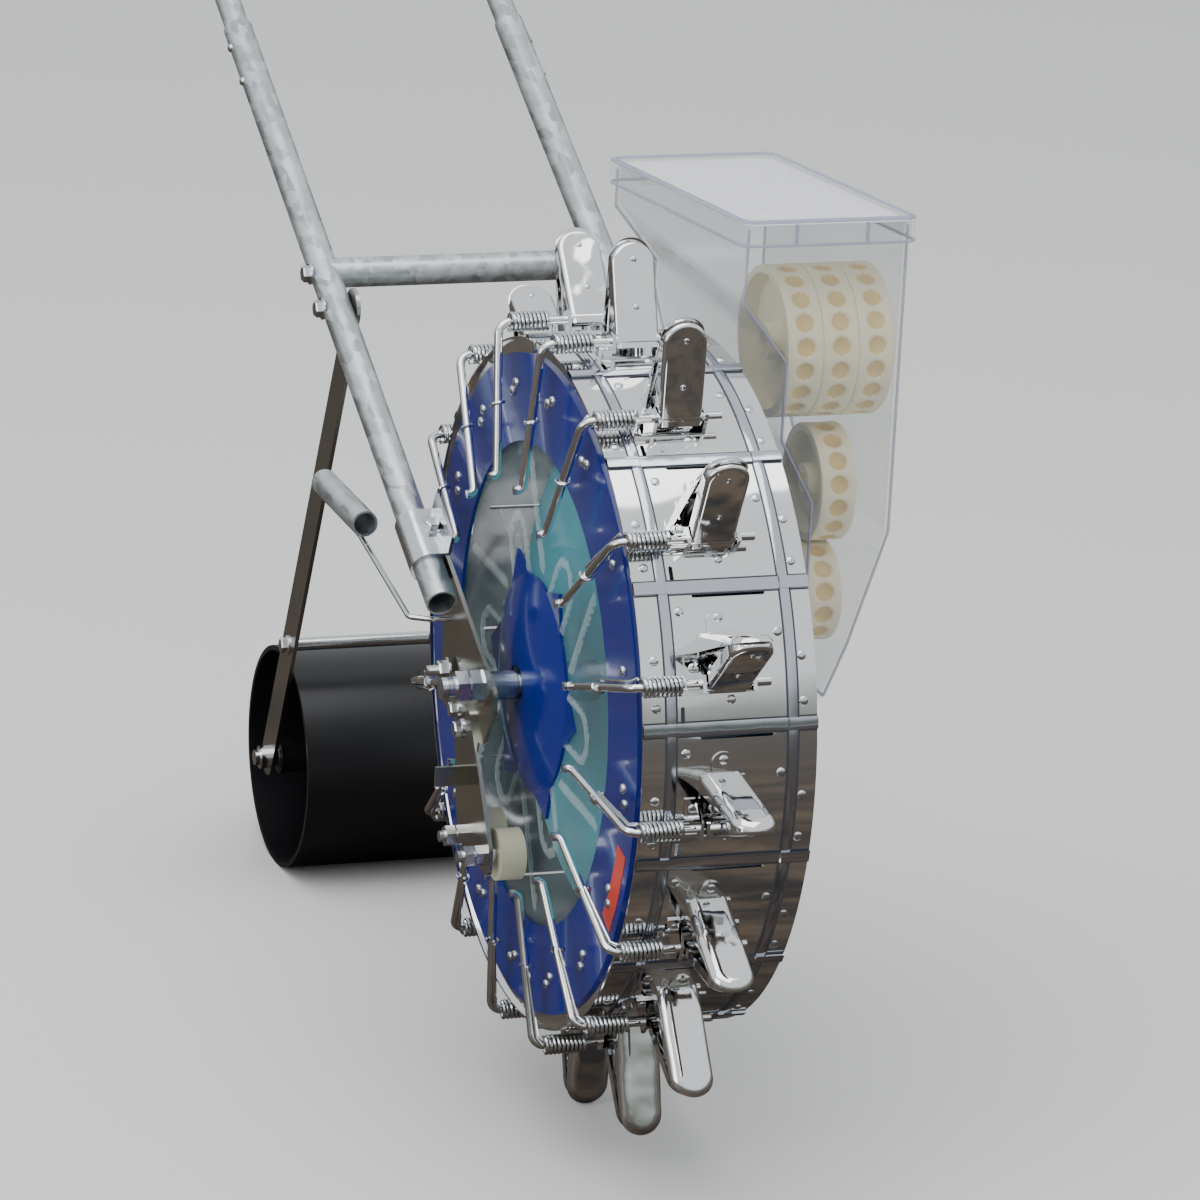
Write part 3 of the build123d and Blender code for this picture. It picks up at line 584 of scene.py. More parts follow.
class SEEDER_OT_rim(bpy.types.Operator):
    """Rivets, folds and joint strips of the rim, and the bolts of its rings."""

    bl_idname = "seeder.rim"
    bl_label = "Rim Rivets, Strips and Ring Bolts"

    # columns: x, degrees from the bill, height of the seat above the rim
    RIVETS = (
        (-31.0, 6.6, 0.0),
        (36.0, 2.7, 0.0),
        (1.0, -7.6, 0.0),
        (51.5, -1.3, 0.0),
        (51.5, -8.5, 0.0),
        (-51.5, -1.0, 0.0),
        (-51.5, -8.5, 0.0),
        (-25.5, -2.4, 1.5),
        (-11.0, -2.4, 1.5),
        (-5.0, 5.4, 1.5),
    )
    # columns: radius, degrees from the bill
    RING_BOLTS = ((203.0, -2.0), (208.0, -4.6))
    HEAD_R = 3.6
    HEAD_H = 2.2
    SUNK = -0.4
    BAR_LAG = -12.0
    # columns: along the rim, above it
    BAR_PROFILE = ((-4.1, -0.4), (-4.1, 1.02), (-3.6, 1.12), (-1.2, 1.2), (1.2, 1.2),
                   (3.6, 1.12), (4.1, 1.02), (4.1, -0.4))
    # columns: x, lift of the raised ends
    BAR_SECTIONS = ((-61.0, 1.02), (-38.9, 1.02), (-38.2, 0.0), (40.2, 0.0), (40.9, 1.02), (61.0, 1.02))
    # Reach of the dark strips along each joint strip, painted shade of its creases
    SHADE_END = 60.8
    FOLDS = (-41.0, 44.0)
    FOLD_PROFILE = ((-3.1, -0.4), (-3.1, 0.52), (-1.7, 0.72), (0.0, 0.8),
                    (1.7, 0.72), (3.1, 0.52), (3.1, -0.4))
    FOLD_SIDES = 256
    # Offsets, width and height of the dark strips beside the folds and joint strips, painted shade of the
    # creases along their edges
    FOLD_SHADE = 3.3
    SHADE_AT = 4.3
    SHADE_W = 1.1
    SHADE_H = 0.3

    def execute(self, context):
        sizes = context.scene.seeder_sizes
        shape = Shape()
        for x, lag, seat in self.RIVETS:
            point = on_bill(RIM_R + seat, lag, x)
            shape.rivet(point, on_bill(1.0, lag), sizes.rivet_radius / MM, sizes.rivet_height / MM)
        for side in (-1, 1):
            for radius, lag in self.RING_BOLTS:
                point = on_bill(radius, lag, side * -RING_FACE_X)
                shape.rivet(point, (side, 0, 0), self.HEAD_R, self.HEAD_H)
        shape.round_the_drum()
        shape.finish("rim_rivets", "drum", ["zinc"], "plated_hardware")
        self.strips()
        return {"FINISHED"}

    def strips(self):
        """Convex folds round the rim, joint strips across it, and dark strips beside them: painted shade of
        the narrow creases along their edges.
        """
        bars, crease_shades = Shape(), Shape()
        for number in range(BILLS):
            lag = self.BAR_LAG + number * BILL_STEP
            bars.skin([self.across(lag, x, self.BAR_PROFILE, lift) for x, lift in self.BAR_SECTIONS])
            for side in (-1, 1):
                profile = self.seam(side * self.SHADE_AT, side)
                crease_shades.skin([self.across(lag, x, profile, 0.0) for x in (-self.SHADE_END, self.SHADE_END)])
        for middle in self.FOLDS:
            self.hoop(bars, [(middle + x, level) for x, level in self.FOLD_PROFILE])
            for side in (-1, 1):
                self.hoop(crease_shades, self.seam(middle + side * self.FOLD_SHADE, side))
        bars.finish("rim_strips", "drum", ["strip steel"], "stainless", (), 50.0)
        # The dark strips are painted shade of the creases beside the strips and folds
        crease_shades.finish("rim_crease_shade", "drum", ["seam"], "stainless")

    def seam(self, near, side):
        """A dark strip's (beside, above the rim) points, from its near edge outward: painted shade of the
        crease beside a strip or fold.
        """
        far = near + side * self.SHADE_W
        return [(near, self.SUNK), (near, self.SHADE_H), (far, self.SHADE_H), (far, self.SUNK)]

    def hoop(self, shape, profile):
        """Turn (x, above the rim) points right round the rim."""
        turned = [(x, RIM_R + level) for x, level in profile]
        shape.lathe(turned, (0, 0, 0), (1, 0, 0), self.FOLD_SIDES, False, True)

    def across(self, lag, x, profile, lift):
        """A strip's cross-section on the rim at an x: (round the rim, above it) points."""
        angle = math.radians(lag)
        out = Vector((0.0, -math.cos(angle), math.sin(angle)))
        round_rim = Vector((0.0, math.sin(angle), math.cos(angle)))
        return [
            Vector((x, 0, 0)) + round_rim * beside + out * (RIM_R + level + (lift if level > 0 else 0.0))
            for beside, level in profile
        ]


class SEEDER_OT_springs(bpy.types.Operator):
    """Coils round the shafts, and the leg of each that rides on its lever."""

    bl_idname = "seeder.springs"
    bl_label = "Lever Springs"

    LEFT_X = -65.5
    RIGHT_X = -34.5
    STEPS = 18
    TAIL_LAG = -5.6
    TAIL_REACH = 1.0
    TAIL_BOW = 2.0
    # The leg's start above the coil, and its way along the lever: beside the lever at the top and half way
    LEG_RISE = 2.0
    LEG_TOP = 5.0
    LEG_OUT = 0.5
    LEG_BESIDE = (2.5, 1.0)
    LEVER_WIRE_R = 3.0
    HOOK_R = 196.0
    HOOK_STEPS = 12
    HOOK_RISE = 0.28
    WIRE_SIDES = 8
    # How far along the beak's face its rivets are, from the tip, and the head's radius and height
    BEAK_RIVETS = (0.17, 0.62)
    BEAK_HEAD = (2.1, 0.9)

    def coil(self, sizes):
        """Points of the helix."""
        wire = sizes.spring_wire / MM
        mean = (sizes.spring_width / MM - wire) / 2
        middle = on_bill(SHAFT_R_PLACE, -SHAFT_LAG)
        count = int(sizes.spring_turns * self.STEPS)
        run = self.RIGHT_X - self.LEFT_X - wire
        points = []
        for index in range(count + 1):
            angle = math.tau * index / self.STEPS
            x = self.LEFT_X + wire / 2 + run * index / count
            points.append(middle + Vector((x, mean * math.cos(angle), mean * math.sin(angle))))
        return points

    def execute(self, context):
        sizes = context.scene.seeder_sizes
        wire = sizes.spring_wire / MM
        shape = Shape()
        points = self.coil(sizes)
        tail = on_bill(RIM_R + wire / 2, self.TAIL_LAG, self.RIGHT_X + self.TAIL_REACH)
        points.append((points[-1] + tail) / 2 + Vector((self.TAIL_BOW, 0, 0)))
        points.append(tail)
        shape.wire(points, wire / 2, self.WIRE_SIDES)
        shape.round_the_drum()
        shape.finish("spring_coils", "drum", ["zinc"], "plated_hardware", ["lever_springs"])
        for number in range(BILLS):
            self.leg(number, wire)
        return {"FINISHED"}

    def leg(self, number, wire):
        """The spring's leg beside one lever, hooked round it, and the beak's two rivets."""
        shape = Shape()
        share = (LEVER_R[0] - self.HOOK_R) / (LEVER_R[0] - LEVER_R[1])
        top = on_bill(LEVER_R[0] - self.LEG_TOP, -LEVER_LAG[0], LEVER_X[0] - self.LEG_OUT)
        arm = on_bill(self.HOOK_R, -LEVER_LAG[1], LEVER_X[0] + (LEVER_X[1] - LEVER_X[0]) * share)
        reach = self.LEVER_WIRE_R + wire / 2
        start = on_bill(SHAFT_R_PLACE, -SHAFT_LAG, self.LEFT_X - self.TAIL_REACH)
        points = [start + Vector((0, 0, reach + self.LEG_RISE))]
        for place, beside in ((top, self.LEG_BESIDE[0]), (top.lerp(arm, 0.5), self.LEG_BESIDE[1])):
            points.append(place + Vector((beside, 0, reach)))
        for index in range(self.HOOK_STEPS - 1):
            angle = math.tau * index / self.HOOK_STEPS
            rise = index * self.HOOK_RISE
            points.append(arm + Vector((reach * math.sin(angle), rise, reach * math.cos(angle))))
        shape.wire(points, wire / 2, self.WIRE_SIDES)
        run = Vector(FACE_TIP) - Vector(FACE_BASE)
        out = Vector((0.0, -run.y, -run.x))
        for share in self.BEAK_RIVETS:
            along, across = Vector(FACE_TIP).lerp(Vector(FACE_BASE), share)
            shape.rivet((BEAK_X, -along, across), out, *self.BEAK_HEAD, 12)
        shape.at_bill(number)
        shape.finish(f"lever_leg_{number + 1:02d}", f"beak_{number + 1:02d}", ["zinc"], "plated_hardware")


class SEEDER_OT_window(bpy.types.Operator):
    """Clear window with its pressed ribs, and the plain patch on the ring."""

    bl_idname = "seeder.window"
    bl_label = "Pressed Window"

    TURN = 118.0
    SECTOR = 60.0
    RADIAL = 44
    ROUND = 360
    # Round-ended loop of each sector: its radius, its end's middle and where it starts
    LOOP_R = 17.0
    LOOP_END = 102.0
    LOOP_FROM = 76.0
    # Straight rib between two loops: radius, degrees from the loop
    RIB_START = (86.0, 26.0)
    RIB_END = (155.0, 42.0)
    OUTER_RIB_R = 160.0
    FLAT_FROM = 166.0
    # columns: half width, height of a rib
    LOOP_RIB = (4.0, 2.4)
    STRAIGHT_RIB = (5.0, 2.6)
    OUTER_RIB = (3.0, 1.2)
    BACK_SHARE = 0.9
    RIB_FROM = 1.3
    PATCH_R = 212.5
    PATCH_W = 17.0
    PATCH_FROM = -31.0
    PATCH_TO = -13.5
    PATCH_STEPS = 24
    # columns: x of the patch's underside and face
    PATCH_LEVELS = (0.1, -0.35)

    def ridge(self, distance, half_width, height):
        share = max(0.0, 1.0 - distance / half_width)
        return height * share * share * (3.0 - 2.0 * share)

    def to_line(self, point, start, end):
        run = end - start
        share = max(0.0, min(1.0, (point - start).dot(run) / run.length_squared))
        return (point - start - run * share).length

    def relief(self, radius, angle):
        """Height of the pressed ribs at a radius and an angle in degrees."""
        local = (angle - self.TURN + self.SECTOR / 2) % self.SECTOR - self.SECTOR / 2
        point = self.polar(radius, local)
        along, beside = point.x - self.LOOP_END, abs(point.y)
        rib = abs(math.hypot(along, beside) - self.LOOP_R) if along > 0 else abs(beside - self.LOOP_R)
        height = self.ridge(rib, *self.LOOP_RIB) if radius > self.LOOP_FROM else 0.0
        for turn in (0.0, -self.SECTOR):
            ends = [self.polar(reach, lean + turn) for reach, lean in (self.RIB_START, self.RIB_END)]
            height = max(height, self.ridge(self.to_line(point, *ends), *self.STRAIGHT_RIB))
        return max(height, self.ridge(abs(radius - self.OUTER_RIB_R), *self.OUTER_RIB))

    def polar(self, radius, degrees):
        turn = math.radians(degrees)
        return Vector((radius * math.cos(turn), radius * math.sin(turn)))

    def execute(self, context):
        self.window()
        self.patch()
        return {"FINISHED"}

    def window(self):
        shape = Shape()
        front, back = [], []
        for step in range(self.RADIAL + 1):
            radius = WINDOW_IN_R + (WINDOW_OUT_R - WINDOW_IN_R) * step / self.RADIAL
            flat = step in (0, self.RADIAL) or radius > self.FLAT_FROM
            front_ring, back_ring = [], []
            for index in range(self.ROUND):
                angle = 360.0 * index / self.ROUND
                lift = 0.0 if flat else self.relief(radius, angle)
                front_ring.append(on_bill(radius, angle, WINDOW_FACE_X - lift))
                back_ring.append(on_bill(radius, angle, WINDOW_FACE_X + WINDOW_WALL - lift * self.BACK_SHARE))
            front.append(front_ring)
            back.append(back_ring)
        shape.skin(front + back[::-1], capped=False, looped=True)
        # Faces raised past the rib height take the paler finish, painted as the ribs' highlight
        for made in shape.mesh.faces:
            lift = WINDOW_FACE_X - min(vert.co.x for vert in made.verts)
            if lift > self.RIB_FROM:
                made.material_index = 1
        names = ["window clear", "window rib highlight"]
        shape.finish("pressed_window", "drum", names, "clear_plastic", ["window"])

    def patch(self):
        under, face = self.PATCH_LEVELS
        rings = []
        for step in range(self.PATCH_STEPS + 1):
            angle = self.PATCH_FROM + (self.PATCH_TO - self.PATCH_FROM) * step / self.PATCH_STEPS
            rings.append([
                on_bill(self.PATCH_R + side * self.PATCH_W / 2, angle, RING_FACE_X + level)
                for side, level in ((-1, under), (-1, face), (1, face), (1, under))
            ])
        shape = Shape()
        shape.skin(rings)
        shape.finish("plain_patch", "drum", ["patch"], "blue_plastic")


class SEEDER_OT_rollers(bpy.types.Operator):
    """Metering rollers in the hopper, with a row of seed cups round each."""

    bl_idname = "seeder.rollers"
    bl_label = "Metering Rollers"

    WIDTH = 26.0
    PITCH = 17.6
    ROUND_STEPS = 18
    CROSS_STEPS = 20
    INSET = 0.2
    EDGE_ROUNDING = 0.8
    RIM_WALL = 6.0
    BORE_R = 8.0
    BOSS_R = 13.0
    WEB = 2.0
    DRAFT = 1.0
    # Share of the depth below which a face of the surface belongs to a cup and takes the darker, warmer
    # finish painted as the cup's shade
    CUP_FROM = 0.275
    # columns: x of the left face, y and height of the centre, radius
    PLACES = (
        (148.8, 59.8, 38.24, 36.0),
        (154.8, 65.8, 116.31, 42.0),
        (123.8, 77.8, 216.8, 54.0),
        (150.1, 77.8, 216.8, 54.0),
        (176.4, 77.8, 216.8, 54.0),
    )

    def roller(self, shape, left, y, z, radius, sizes):
        cup_r = sizes.cup_width / MM / 2
        depth = sizes.cup_depth / MM
        cups = round(math.tau * radius / self.PITCH)
        count = cups * self.ROUND_STEPS
        pitch = math.tau * radius / cups
        rings = []
        surface = []
        for step in range(self.CROSS_STEPS + 1):
            x = self.WIDTH * step / self.CROSS_STEPS
            ring, depths = [], []
            for index in range(count):
                along = (index / self.ROUND_STEPS + 0.5) % 1.0 - 0.5
                gap = math.hypot(along * pitch, x - self.WIDTH / 2)
                cup = depth * max(0.0, 1.0 - (gap / cup_r) ** 2) ** 0.6
                edge = self.EDGE_ROUNDING if step in (0, self.CROSS_STEPS) else 0.0
                angle = math.tau * index / count
                reach = radius - self.INSET - cup - edge
                ring.append(Vector((left + x, y + reach * math.cos(angle), z + reach * math.sin(angle))))
                depths.append(cup)
            rings.append(ring)
            surface.append(depths)
        far, web = self.WIDTH, (self.WIDTH - self.WEB) / 2
        rim, boss = radius - self.RIM_WALL, self.BOSS_R
        for x, reach in (
            (far, rim), (far - web, rim - self.DRAFT), (far - web, boss + self.DRAFT), (far, boss),
            (far, self.BORE_R), (0.0, self.BORE_R),
            (0.0, boss), (web, boss + self.DRAFT), (web, rim - self.DRAFT), (0.0, rim),
        ):
            ring = []
            for index in range(count):
                angle = math.tau * index / count
                ring.append(Vector((left + x, y + reach * math.cos(angle), z + reach * math.sin(angle))))
            rings.append(ring)
        before = len(shape.mesh.faces)
        shape.skin(rings, capped=False, looped=True)
        shape.mesh.faces.ensure_lookup_table()
        for step in range(self.CROSS_STEPS):
            for index in range(count):
                after = (index + 1) % count
                low, high = surface[step], surface[step + 1]
                # Faces deep in a cup take the second finish, a darker, warmer colour painted as the cups'
                # shade
                if low[index] + low[after] + high[index] + high[after] > 4 * self.CUP_FROM * depth:
                    shape.mesh.faces[before + step * count + index].material_index = 1

    def execute(self, context):
        shape = Shape()
        for left, y, z, radius in self.PLACES:
            self.roller(shape, left, y, z, radius, context.scene.seeder_sizes)
        shape.finish("metering_rollers", "frame", ["ivory", "cup_shade"], "cream_nylon", ["spare_rollers"], 50.0)
        return {"FINISHED"}


class SEEDER_OT_hopper(bpy.types.Operator):
    """Thick edges of the clear hopper and its lid, the lid's two latches and its frosted sheet."""

    bl_idname = "seeder.hopper"
    bl_label = "Hopper and Lid Edges"

    BEAD_R = 1.1
    BEAD_SIDES = 8
    # The lid's rounded corners, and the steps of each quarter turn
    CORNER_R = 12.0
    CORNER_STEPS = 6
    # columns: inset from the lid's side, height above its underside
    LID_BEADS = ((1.2, 2.4), (1.2, 4.2 - LID_T), (3.6, 3.0))
    LATCH_X = (-26.0, 26.0)
    # Outline of a latch on the lid's front: x, height
    LATCH = ((-1.2, -13.0), (1.2, -13.0), (1.2, 1.0), (-1.2, 1.0))
    LATCH_SUNK = 0.2
    LATCH_T = 0.9
    # columns: x, z of the hopper's front corner on the left, and on the right
    LEFT_EDGE = ((88.6, 312.0), (88.6, 258.0), (121.6, 216.0), (121.6, 160.0), (146.6, 114.0), (146.6, -29.0))
    RIGHT_EDGE = ((205.4, 312.0), (205.4, 90.0), (179.4, 8.0), (164.4, -29.0))
    FRONT_Y = 23.2
    FLOOR_X = (146.8, 164.0)
    FLOOR_FRONT_Z = -29.0
    # The floor's rear edge: y, z
    FLOOR = (94.0, -29.4)
    # The floor's slope up to the back wall, and the top of the back wall: y, z
    BACK_KNEE = (305.8, 196.6)
    BACK_TOP = 285.5
    # The frosted sheet: in from the lid's side, then its faces below the lid's top
    FROST_MARGIN = 4.2
    FROST_LEVELS = (-0.35, -0.1)

    def rounded(self, inset, level):
        """Points round the lid, in from its sides, at a level."""
        width, length, corner = LID_W - 2 * inset, LID_L - 2 * inset, self.CORNER_R - inset
        points = []
        for side_x, side_y, start in ((1, 1, 0.0), (-1, 1, 90.0), (-1, -1, 180.0), (1, -1, 270.0)):
            for step in range(self.CORNER_STEPS + 1):
                angle = math.radians(start + 90.0 * step / self.CORNER_STEPS)
                x = side_x * (width / 2 - corner) + corner * math.cos(angle)
                y = side_y * (length / 2 - corner) + corner * math.sin(angle)
                points.append(on_lid(x, y, level))
        return points

    def rear_edge(self, edge):
        """Points of a side's rear edge: up the sloping floor, then up the back wall."""
        knee_y, knee_z = self.BACK_KNEE
        floor_y, floor_z = self.FLOOR
        corners = [*edge, (None, knee_z), (None, self.BACK_TOP)]
        heights = sorted({min(max(z, floor_z), self.BACK_TOP) for x, z in corners})
        points = []
        for height in heights:
            share = min(1.0, (height - floor_z) / (knee_z - floor_z))
            points.append((self.width_at(edge, height), floor_y + (knee_y - floor_y) * share, height))
        return points

    def width_at(self, edge, height):
        """x of a side's edge at a height."""
        for (high_x, high), (low_x, low) in zip(edge, edge[1:]):
            if low <= height <= high:
                return low_x + (high_x - low_x) * (height - low) / (high - low)
        return edge[-1][0]

    def execute(self, context):
        lid = Shape()
        for inset, level in self.LID_BEADS:
            lid.wire(self.rounded(inset, level), self.BEAD_R, self.BEAD_SIDES, True)
        for x in self.LATCH_X:
            start = on_lid(x, self.LATCH_SUNK - LID_L / 2, 0.0)
            lid.slab(self.LATCH, start, (1, 0, 0), (0, 0, 1), self.LATCH_T)
        lid.finish("lid_edges", "hopper_lid", ["clear edge"], "clear_plastic")
        frost = Shape()
        frost.skin([self.rounded(self.FROST_MARGIN, level) for level in self.FROST_LEVELS])
        frost.finish("lid_frost_sheet", "hopper_lid", ["lid frost"], "clear_plastic")
        body = Shape()
        lines = [[(x, self.FRONT_Y, self.FLOOR_FRONT_Z), (x, *self.FLOOR)] for x in self.FLOOR_X]
        for edge in (self.LEFT_EDGE, self.RIGHT_EDGE):
            lines += [[(x, self.FRONT_Y, z) for x, z in edge], self.rear_edge(edge)]
        for line in lines:
            body.wire(line, self.BEAD_R, self.BEAD_SIDES)
        body.finish("hopper_edges", "frame", ["clear edge"], "clear_plastic")
        return {"FINISHED"}


class SEEDER_OT_hardware(bpy.types.Operator):
    """Bolts, nuts and washers of the frame."""

    bl_idname = "seeder.hardware"
    bl_label = "Frame Hardware"

    SUNK = 0.4
    # Distances up the tube of its cross bolts, and of the snap buttons of the upper tubes
    TUBE_BOLTS = (427.0, 388.0)
    BUTTONS = (650.0, 690.0)
    BUTTON_SUNK = 0.3
    # The clamp's bolt: distance up the tube, above its line, x
    CLAMP_BOLT = (138.0, 13.3, 101.5)
    CLAMP_RIVETS = (118.0, 150.0)
    CLAMP_DROP = 20.0
    PLATE_FACE = PLATE_X + 2.4
    SIDE_X = 97.0
    AXLE_END = 122.0
    # The roller arm's bolt and screws: y, z
    ARM_BOLT = (77.0, -13.0)
    ARM_STUD_X = -104.0
    ARM_SCREWS = ((52.0, -34.0), (40.0, -44.0))
    # columns: corner radius, height, washer's radius
    TUBE_HEAD = (6.5, 5.0, 8.0)
    CLAMP_HEAD = (5.5, 4.5, 6.6)
    STAY_HEAD = (6.0, 4.5, 7.5)
    ARM_HEAD = (7.0, 6.0, 9.0)
    SCREW_HEAD = (5.5, 4.5, 7.0)
    # columns: radius, height
    CLAMP_RIVET = (4.0, 2.0)
    BUTTON = (3.4, 2.4)
    # columns: radius, length
    AXLE_THREAD = (8.0, 5.0)
    ARM_THREAD = (4.0, 9.0)

    def execute(self, context):
        shape = Shape()
        buttons = Shape()
        low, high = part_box("bar_stay")
        stay = ((low + high) / 2 - HUB) / MM
        across_tube = along_tube(0.0, 1.0) - along_tube(0.0)
        for side in (-1, 1):
            outward = (side, 0, 0)
            for distance in self.TUBE_BOLTS:
                point = along_tube(distance, 0.0, side * (TUBE_X + TUBE_R - self.SUNK))
                shape.hex_head(point, outward, *self.TUBE_HEAD)
            distance, rise, x = self.CLAMP_BOLT
            shape.hex_head(along_tube(distance, rise, side * x), across_tube, *self.CLAMP_HEAD)
            for distance in self.CLAMP_RIVETS:
                point = along_tube(distance, -self.CLAMP_DROP, side * self.PLATE_FACE)
                shape.rivet(point, outward, *self.CLAMP_RIVET)
            shape.thread((side * self.AXLE_END, 0, 0), outward, *self.AXLE_THREAD)
            stay.x = side * self.SIDE_X
            shape.hex_head(stay, outward, *self.STAY_HEAD)
            for distance in self.BUTTONS:
                point = along_tube(distance, 0.0, side * (TUBE_X + TUBE_R - self.BUTTON_SUNK))
                buttons.rivet(point, outward, *self.BUTTON)
        left = (-1, 0, 0)
        shape.hex_head((-self.SIDE_X, *self.ARM_BOLT), left, *self.ARM_HEAD)
        shape.thread((self.ARM_STUD_X, *self.ARM_BOLT), left, *self.ARM_THREAD)
        for place in self.ARM_SCREWS:
            shape.hex_head((-self.SIDE_X, *place), left, *self.SCREW_HEAD)
        shape.finish("frame_hardware", "frame", ["zinc"], "plated_hardware")
        buttons.finish("handle_buttons", "frame", ["zinc"], "plated_hardware")
        return {"FINISHED"}


class SEEDER_OT_grips(bpy.types.Operator):
    """Ribbed rubber grips on the handle's ends."""

    bl_idname = "seeder.grips"
    bl_label = "Grips"

    LENGTH = 125.0
    RADIUS = 14.5
    BEND = 16.0
    SIDES = 40
    COLLAR = 4.0
    RIBBED = 113.0
    # columns: along, below the grip's radius
    COLLAR_PROFILE = ((0.0, 4.5), (0.0, 1.0), (1.0, 0.2), (COLLAR, 0.2))
    # columns: share of the rib's pitch, below the grip's radius
    RIB_PROFILE = ((0.2, 1.9), (0.5, 2.1), (0.75, 0.6), (1.0, 0.5))
    # columns: back from the grip's end, below its radius
    END_PROFILE = ((2.5, 0.3), (0.6, 2.0), (0.1, 6.0))

    def execute(self, context):
        ribs = context.scene.seeder_sizes.grip_ribs
        pitch = self.RIBBED / ribs
        profile = [(along, self.RADIUS - drop) for along, drop in self.COLLAR_PROFILE]
        for rib in range(ribs):
            base = self.COLLAR + rib * pitch
            profile += [(base + pitch * share, self.RADIUS - drop) for share, drop in self.RIB_PROFILE]
        profile += [(self.LENGTH - back, self.RADIUS - drop) for back, drop in self.END_PROFILE]
        turn = math.radians(TUBE_SLOPE - self.BEND)
        axis = Vector((0, math.cos(turn), math.sin(turn)))
        for name in ("left", "right"):
            low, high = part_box(f"{name}_grip")
            middle = ((low + high) / 2 - HUB) / MM
            shape = Shape()
            shape.lathe(profile, middle - axis * self.LENGTH / 2, axis, self.SIDES)
            shape.finish(f"{name}_ribbed_grip", "frame", ["rubber"], "rubber_grip", [f"{name}_grip"])
        return {"FINISHED"}


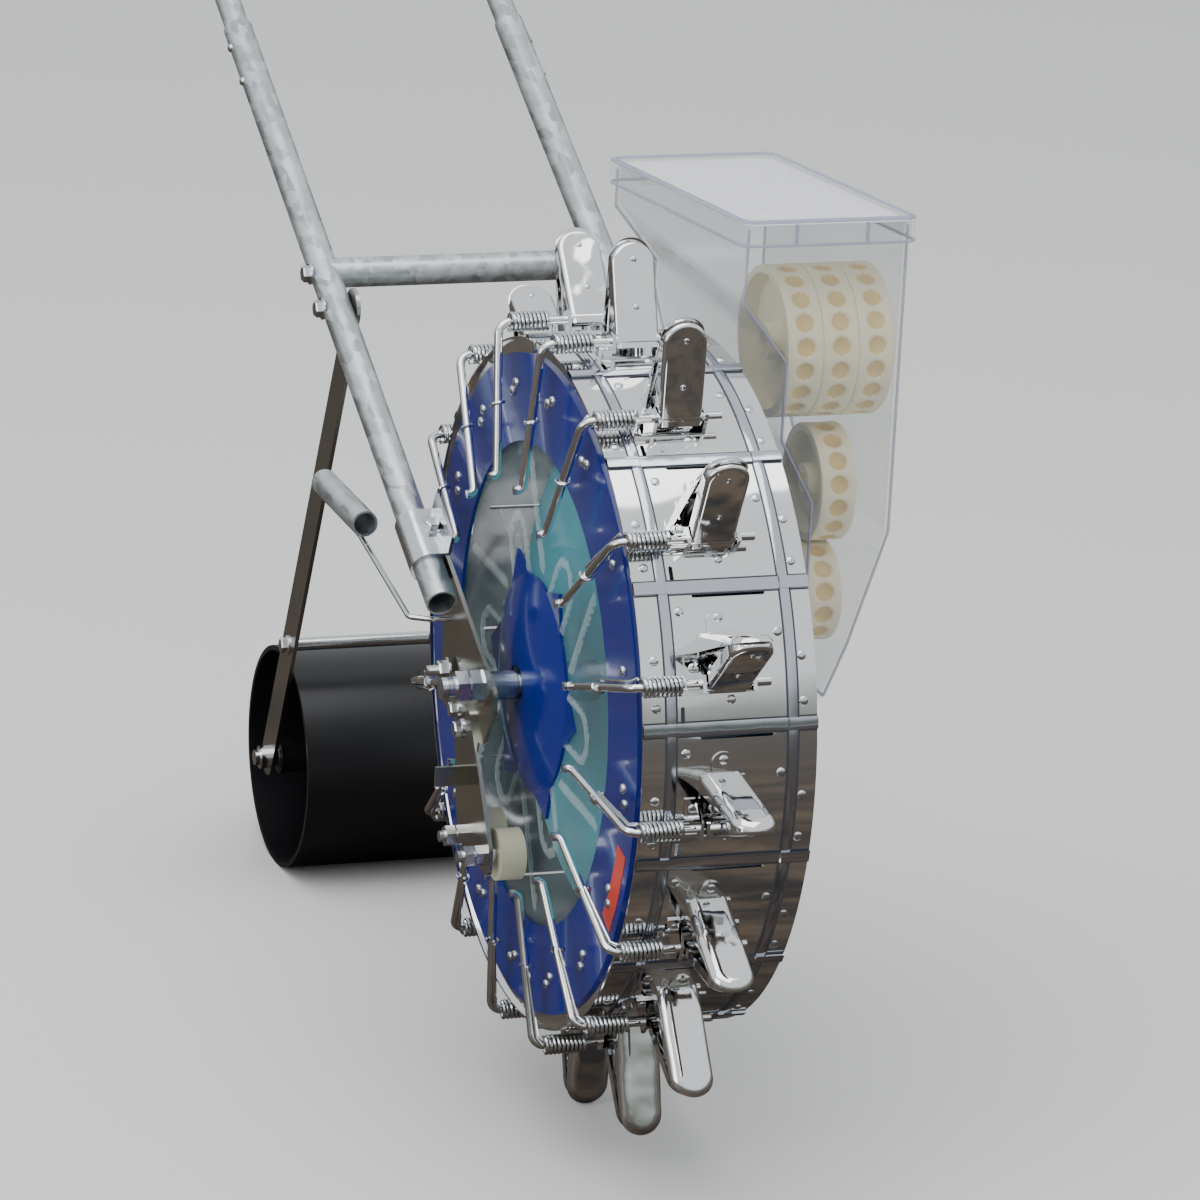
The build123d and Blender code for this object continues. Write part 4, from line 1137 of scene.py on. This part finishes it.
class SEEDER_OT_stage(bpy.types.Operator):
    """Set up the floor, the lights and the camera."""

    bl_idname = "seeder.stage"
    bl_label = "Stage"

    EYE = (-1429.1, -4091.6, 1418.8)
    BACK = (-0.31186, -0.90158, 0.29983)
    ROLL = 2.935
    SKY = (0.93, 0.97, 1.0)
    HEDGE = (0.16, 0.18, 0.15)
    HEDGE_RISE = (0.05, 0.30)
    # columns: half size, height; the card is seen only in reflections
    FLOOR = (30.0, 0.0)
    CARD = (12.0, 0.0004)
    CARD_DARK = (0.010, 0.007, 0.005)
    CARD_LIGHT = (0.135, 0.092, 0.058)
    # columns: name, share of the softbox's power, size, place, aim
    LAMPS = (
        ("overhead", 1.0, 3.0, (-0.6, -0.8, 3.2), (0.0, 0.0, 0.3)),
        ("side_fill", 0.3, 1.6, (-3.0, -1.5, 1.4), (0.0, -0.3, 0.4)),
    )

    def sheet(self, context, name, size, level, colour, streaks=None):
        mesh = bpy.data.meshes.new(name)
        corners = [(-size, -size, level), (size, -size, level), (size, size, level), (-size, size, level)]
        mesh.from_pydata(corners, [], [(0, 1, 2, 3)])
        made = bpy.data.objects.new(name, mesh)
        context.scene.collection.objects.link(made)
        finish = Finish(name + "_paint")
        paint = tuple(colour)
        if streaks:
            place = finish.place((1.0, 3.0, 1.0))
            tone = (finish.noise(5.0, 9.0, 0.72, place) * 4.0 - 1.7).clamped()
            paint = finish.mix(tone, paint, streaks)
        finish.set(Base_Color=paint, Roughness=0.7)
        mesh.materials.append(finish.material)
        return made

    def gradient(self, tree):
        """Bright sky above, and a darker band of hedges along the horizon."""
        nodes = Nodes(tree)
        low, high = self.HEDGE_RISE
        place = nodes.node("ShaderNodeTexCoord", output="Generated")
        height = nodes.node("ShaderNodeSeparateXYZ", {}, {"Vector": place}, "Z")
        share = ((height - low) / (high - low)).clamped()
        nodes.feed(tree.nodes["Background"].inputs["Color"], nodes.mix(share, self.HEDGE, self.SKY))

    def lamp(self, context, name, power, size, place, aim):
        light = bpy.data.lights.new(name, "AREA")
        light.energy = power
        light.size = size
        made = bpy.data.objects.new(name, light)
        made.location = place
        made.rotation_euler = (Vector(aim) - made.location).to_track_quat("-Z", "Y").to_euler()
        context.scene.collection.objects.link(made)

    def execute(self, context):
        stage = context.scene.seeder_stage
        self.sheet(context, "floor", *self.FLOOR, stage.floor)
        card = self.sheet(context, "soil_card", *self.CARD, self.CARD_DARK, self.CARD_LIGHT)
        card.visible_camera = False
        card.visible_diffuse = False
        card.visible_shadow = False
        card.visible_transmission = False
        world = bpy.data.worlds.new("studio")
        world.use_nodes = True
        self.gradient(world.node_tree)
        world.node_tree.nodes["Background"].inputs["Strength"].default_value = stage.sky
        context.scene.world = world
        for name, share, size, place, aim in self.LAMPS:
            self.lamp(context, name, stage.softbox * share, size, place, aim)
        data = bpy.data.cameras.new("photo_view")
        data.sensor_width = 36.0
        data.lens = stage.lens
        camera = bpy.data.objects.new("photo_view", data)
        camera.location = HUB + Vector(self.EYE) * MM
        level = (-Vector(self.BACK)).to_track_quat("-Z", "Y").to_matrix()
        camera.rotation_euler = (level @ Matrix.Rotation(math.radians(self.ROLL), 3, "Z")).to_euler()
        context.scene.collection.objects.link(camera)
        context.scene.camera = camera
        return {"FINISHED"}


class SEEDER_PT_panel(bpy.types.Panel):
    """Sizes, colours and pieces of the seeder."""

    bl_label = "Hand Seeder"
    bl_idname = "SEEDER_PT_panel"
    bl_space_type = "VIEW_3D"
    bl_region_type = "UI"
    bl_category = "Seeder"

    def draw(self, context):
        for title, group in (
            ("Sizes", context.scene.seeder_sizes),
            ("Colours", context.scene.seeder_colours),
            ("Stage", context.scene.seeder_stage),
        ):
            box = self.layout.box()
            box.label(text=title)
            for name in group.__annotations__:
                box.prop(group, name)
        for operator in OPERATORS:
            self.layout.operator(operator.bl_idname)


GROUPS = (SeederSizes, SeederColours, SeederStage)
OPERATORS = (
    SEEDER_OT_stage,
    SEEDER_OT_dress,
    SEEDER_OT_rim,
    SEEDER_OT_springs,
    SEEDER_OT_window,
    SEEDER_OT_rollers,
    SEEDER_OT_hopper,
    SEEDER_OT_hardware,
    SEEDER_OT_grips,
)
CLASSES = (*GROUPS, *OPERATORS, SEEDER_PT_panel)


def register():
    for kind in CLASSES:
        bpy.utils.register_class(kind)
    bpy.types.Scene.seeder_sizes = PointerProperty(type=SeederSizes)
    bpy.types.Scene.seeder_colours = PointerProperty(type=SeederColours)
    bpy.types.Scene.seeder_stage = PointerProperty(type=SeederStage)


def unregister():
    del bpy.types.Scene.seeder_stage
    del bpy.types.Scene.seeder_colours
    del bpy.types.Scene.seeder_sizes
    for kind in reversed(CLASSES):
        bpy.utils.unregister_class(kind)


def main():
    register()
    bpy.ops.seeder.stage()
    bpy.ops.seeder.dress()
    bpy.ops.seeder.rim()
    bpy.ops.seeder.springs()
    bpy.ops.seeder.window()
    bpy.ops.seeder.rollers()
    bpy.ops.seeder.hopper()
    bpy.ops.seeder.hardware()
    bpy.ops.seeder.grips()


if __name__ == "__main__":
    main()
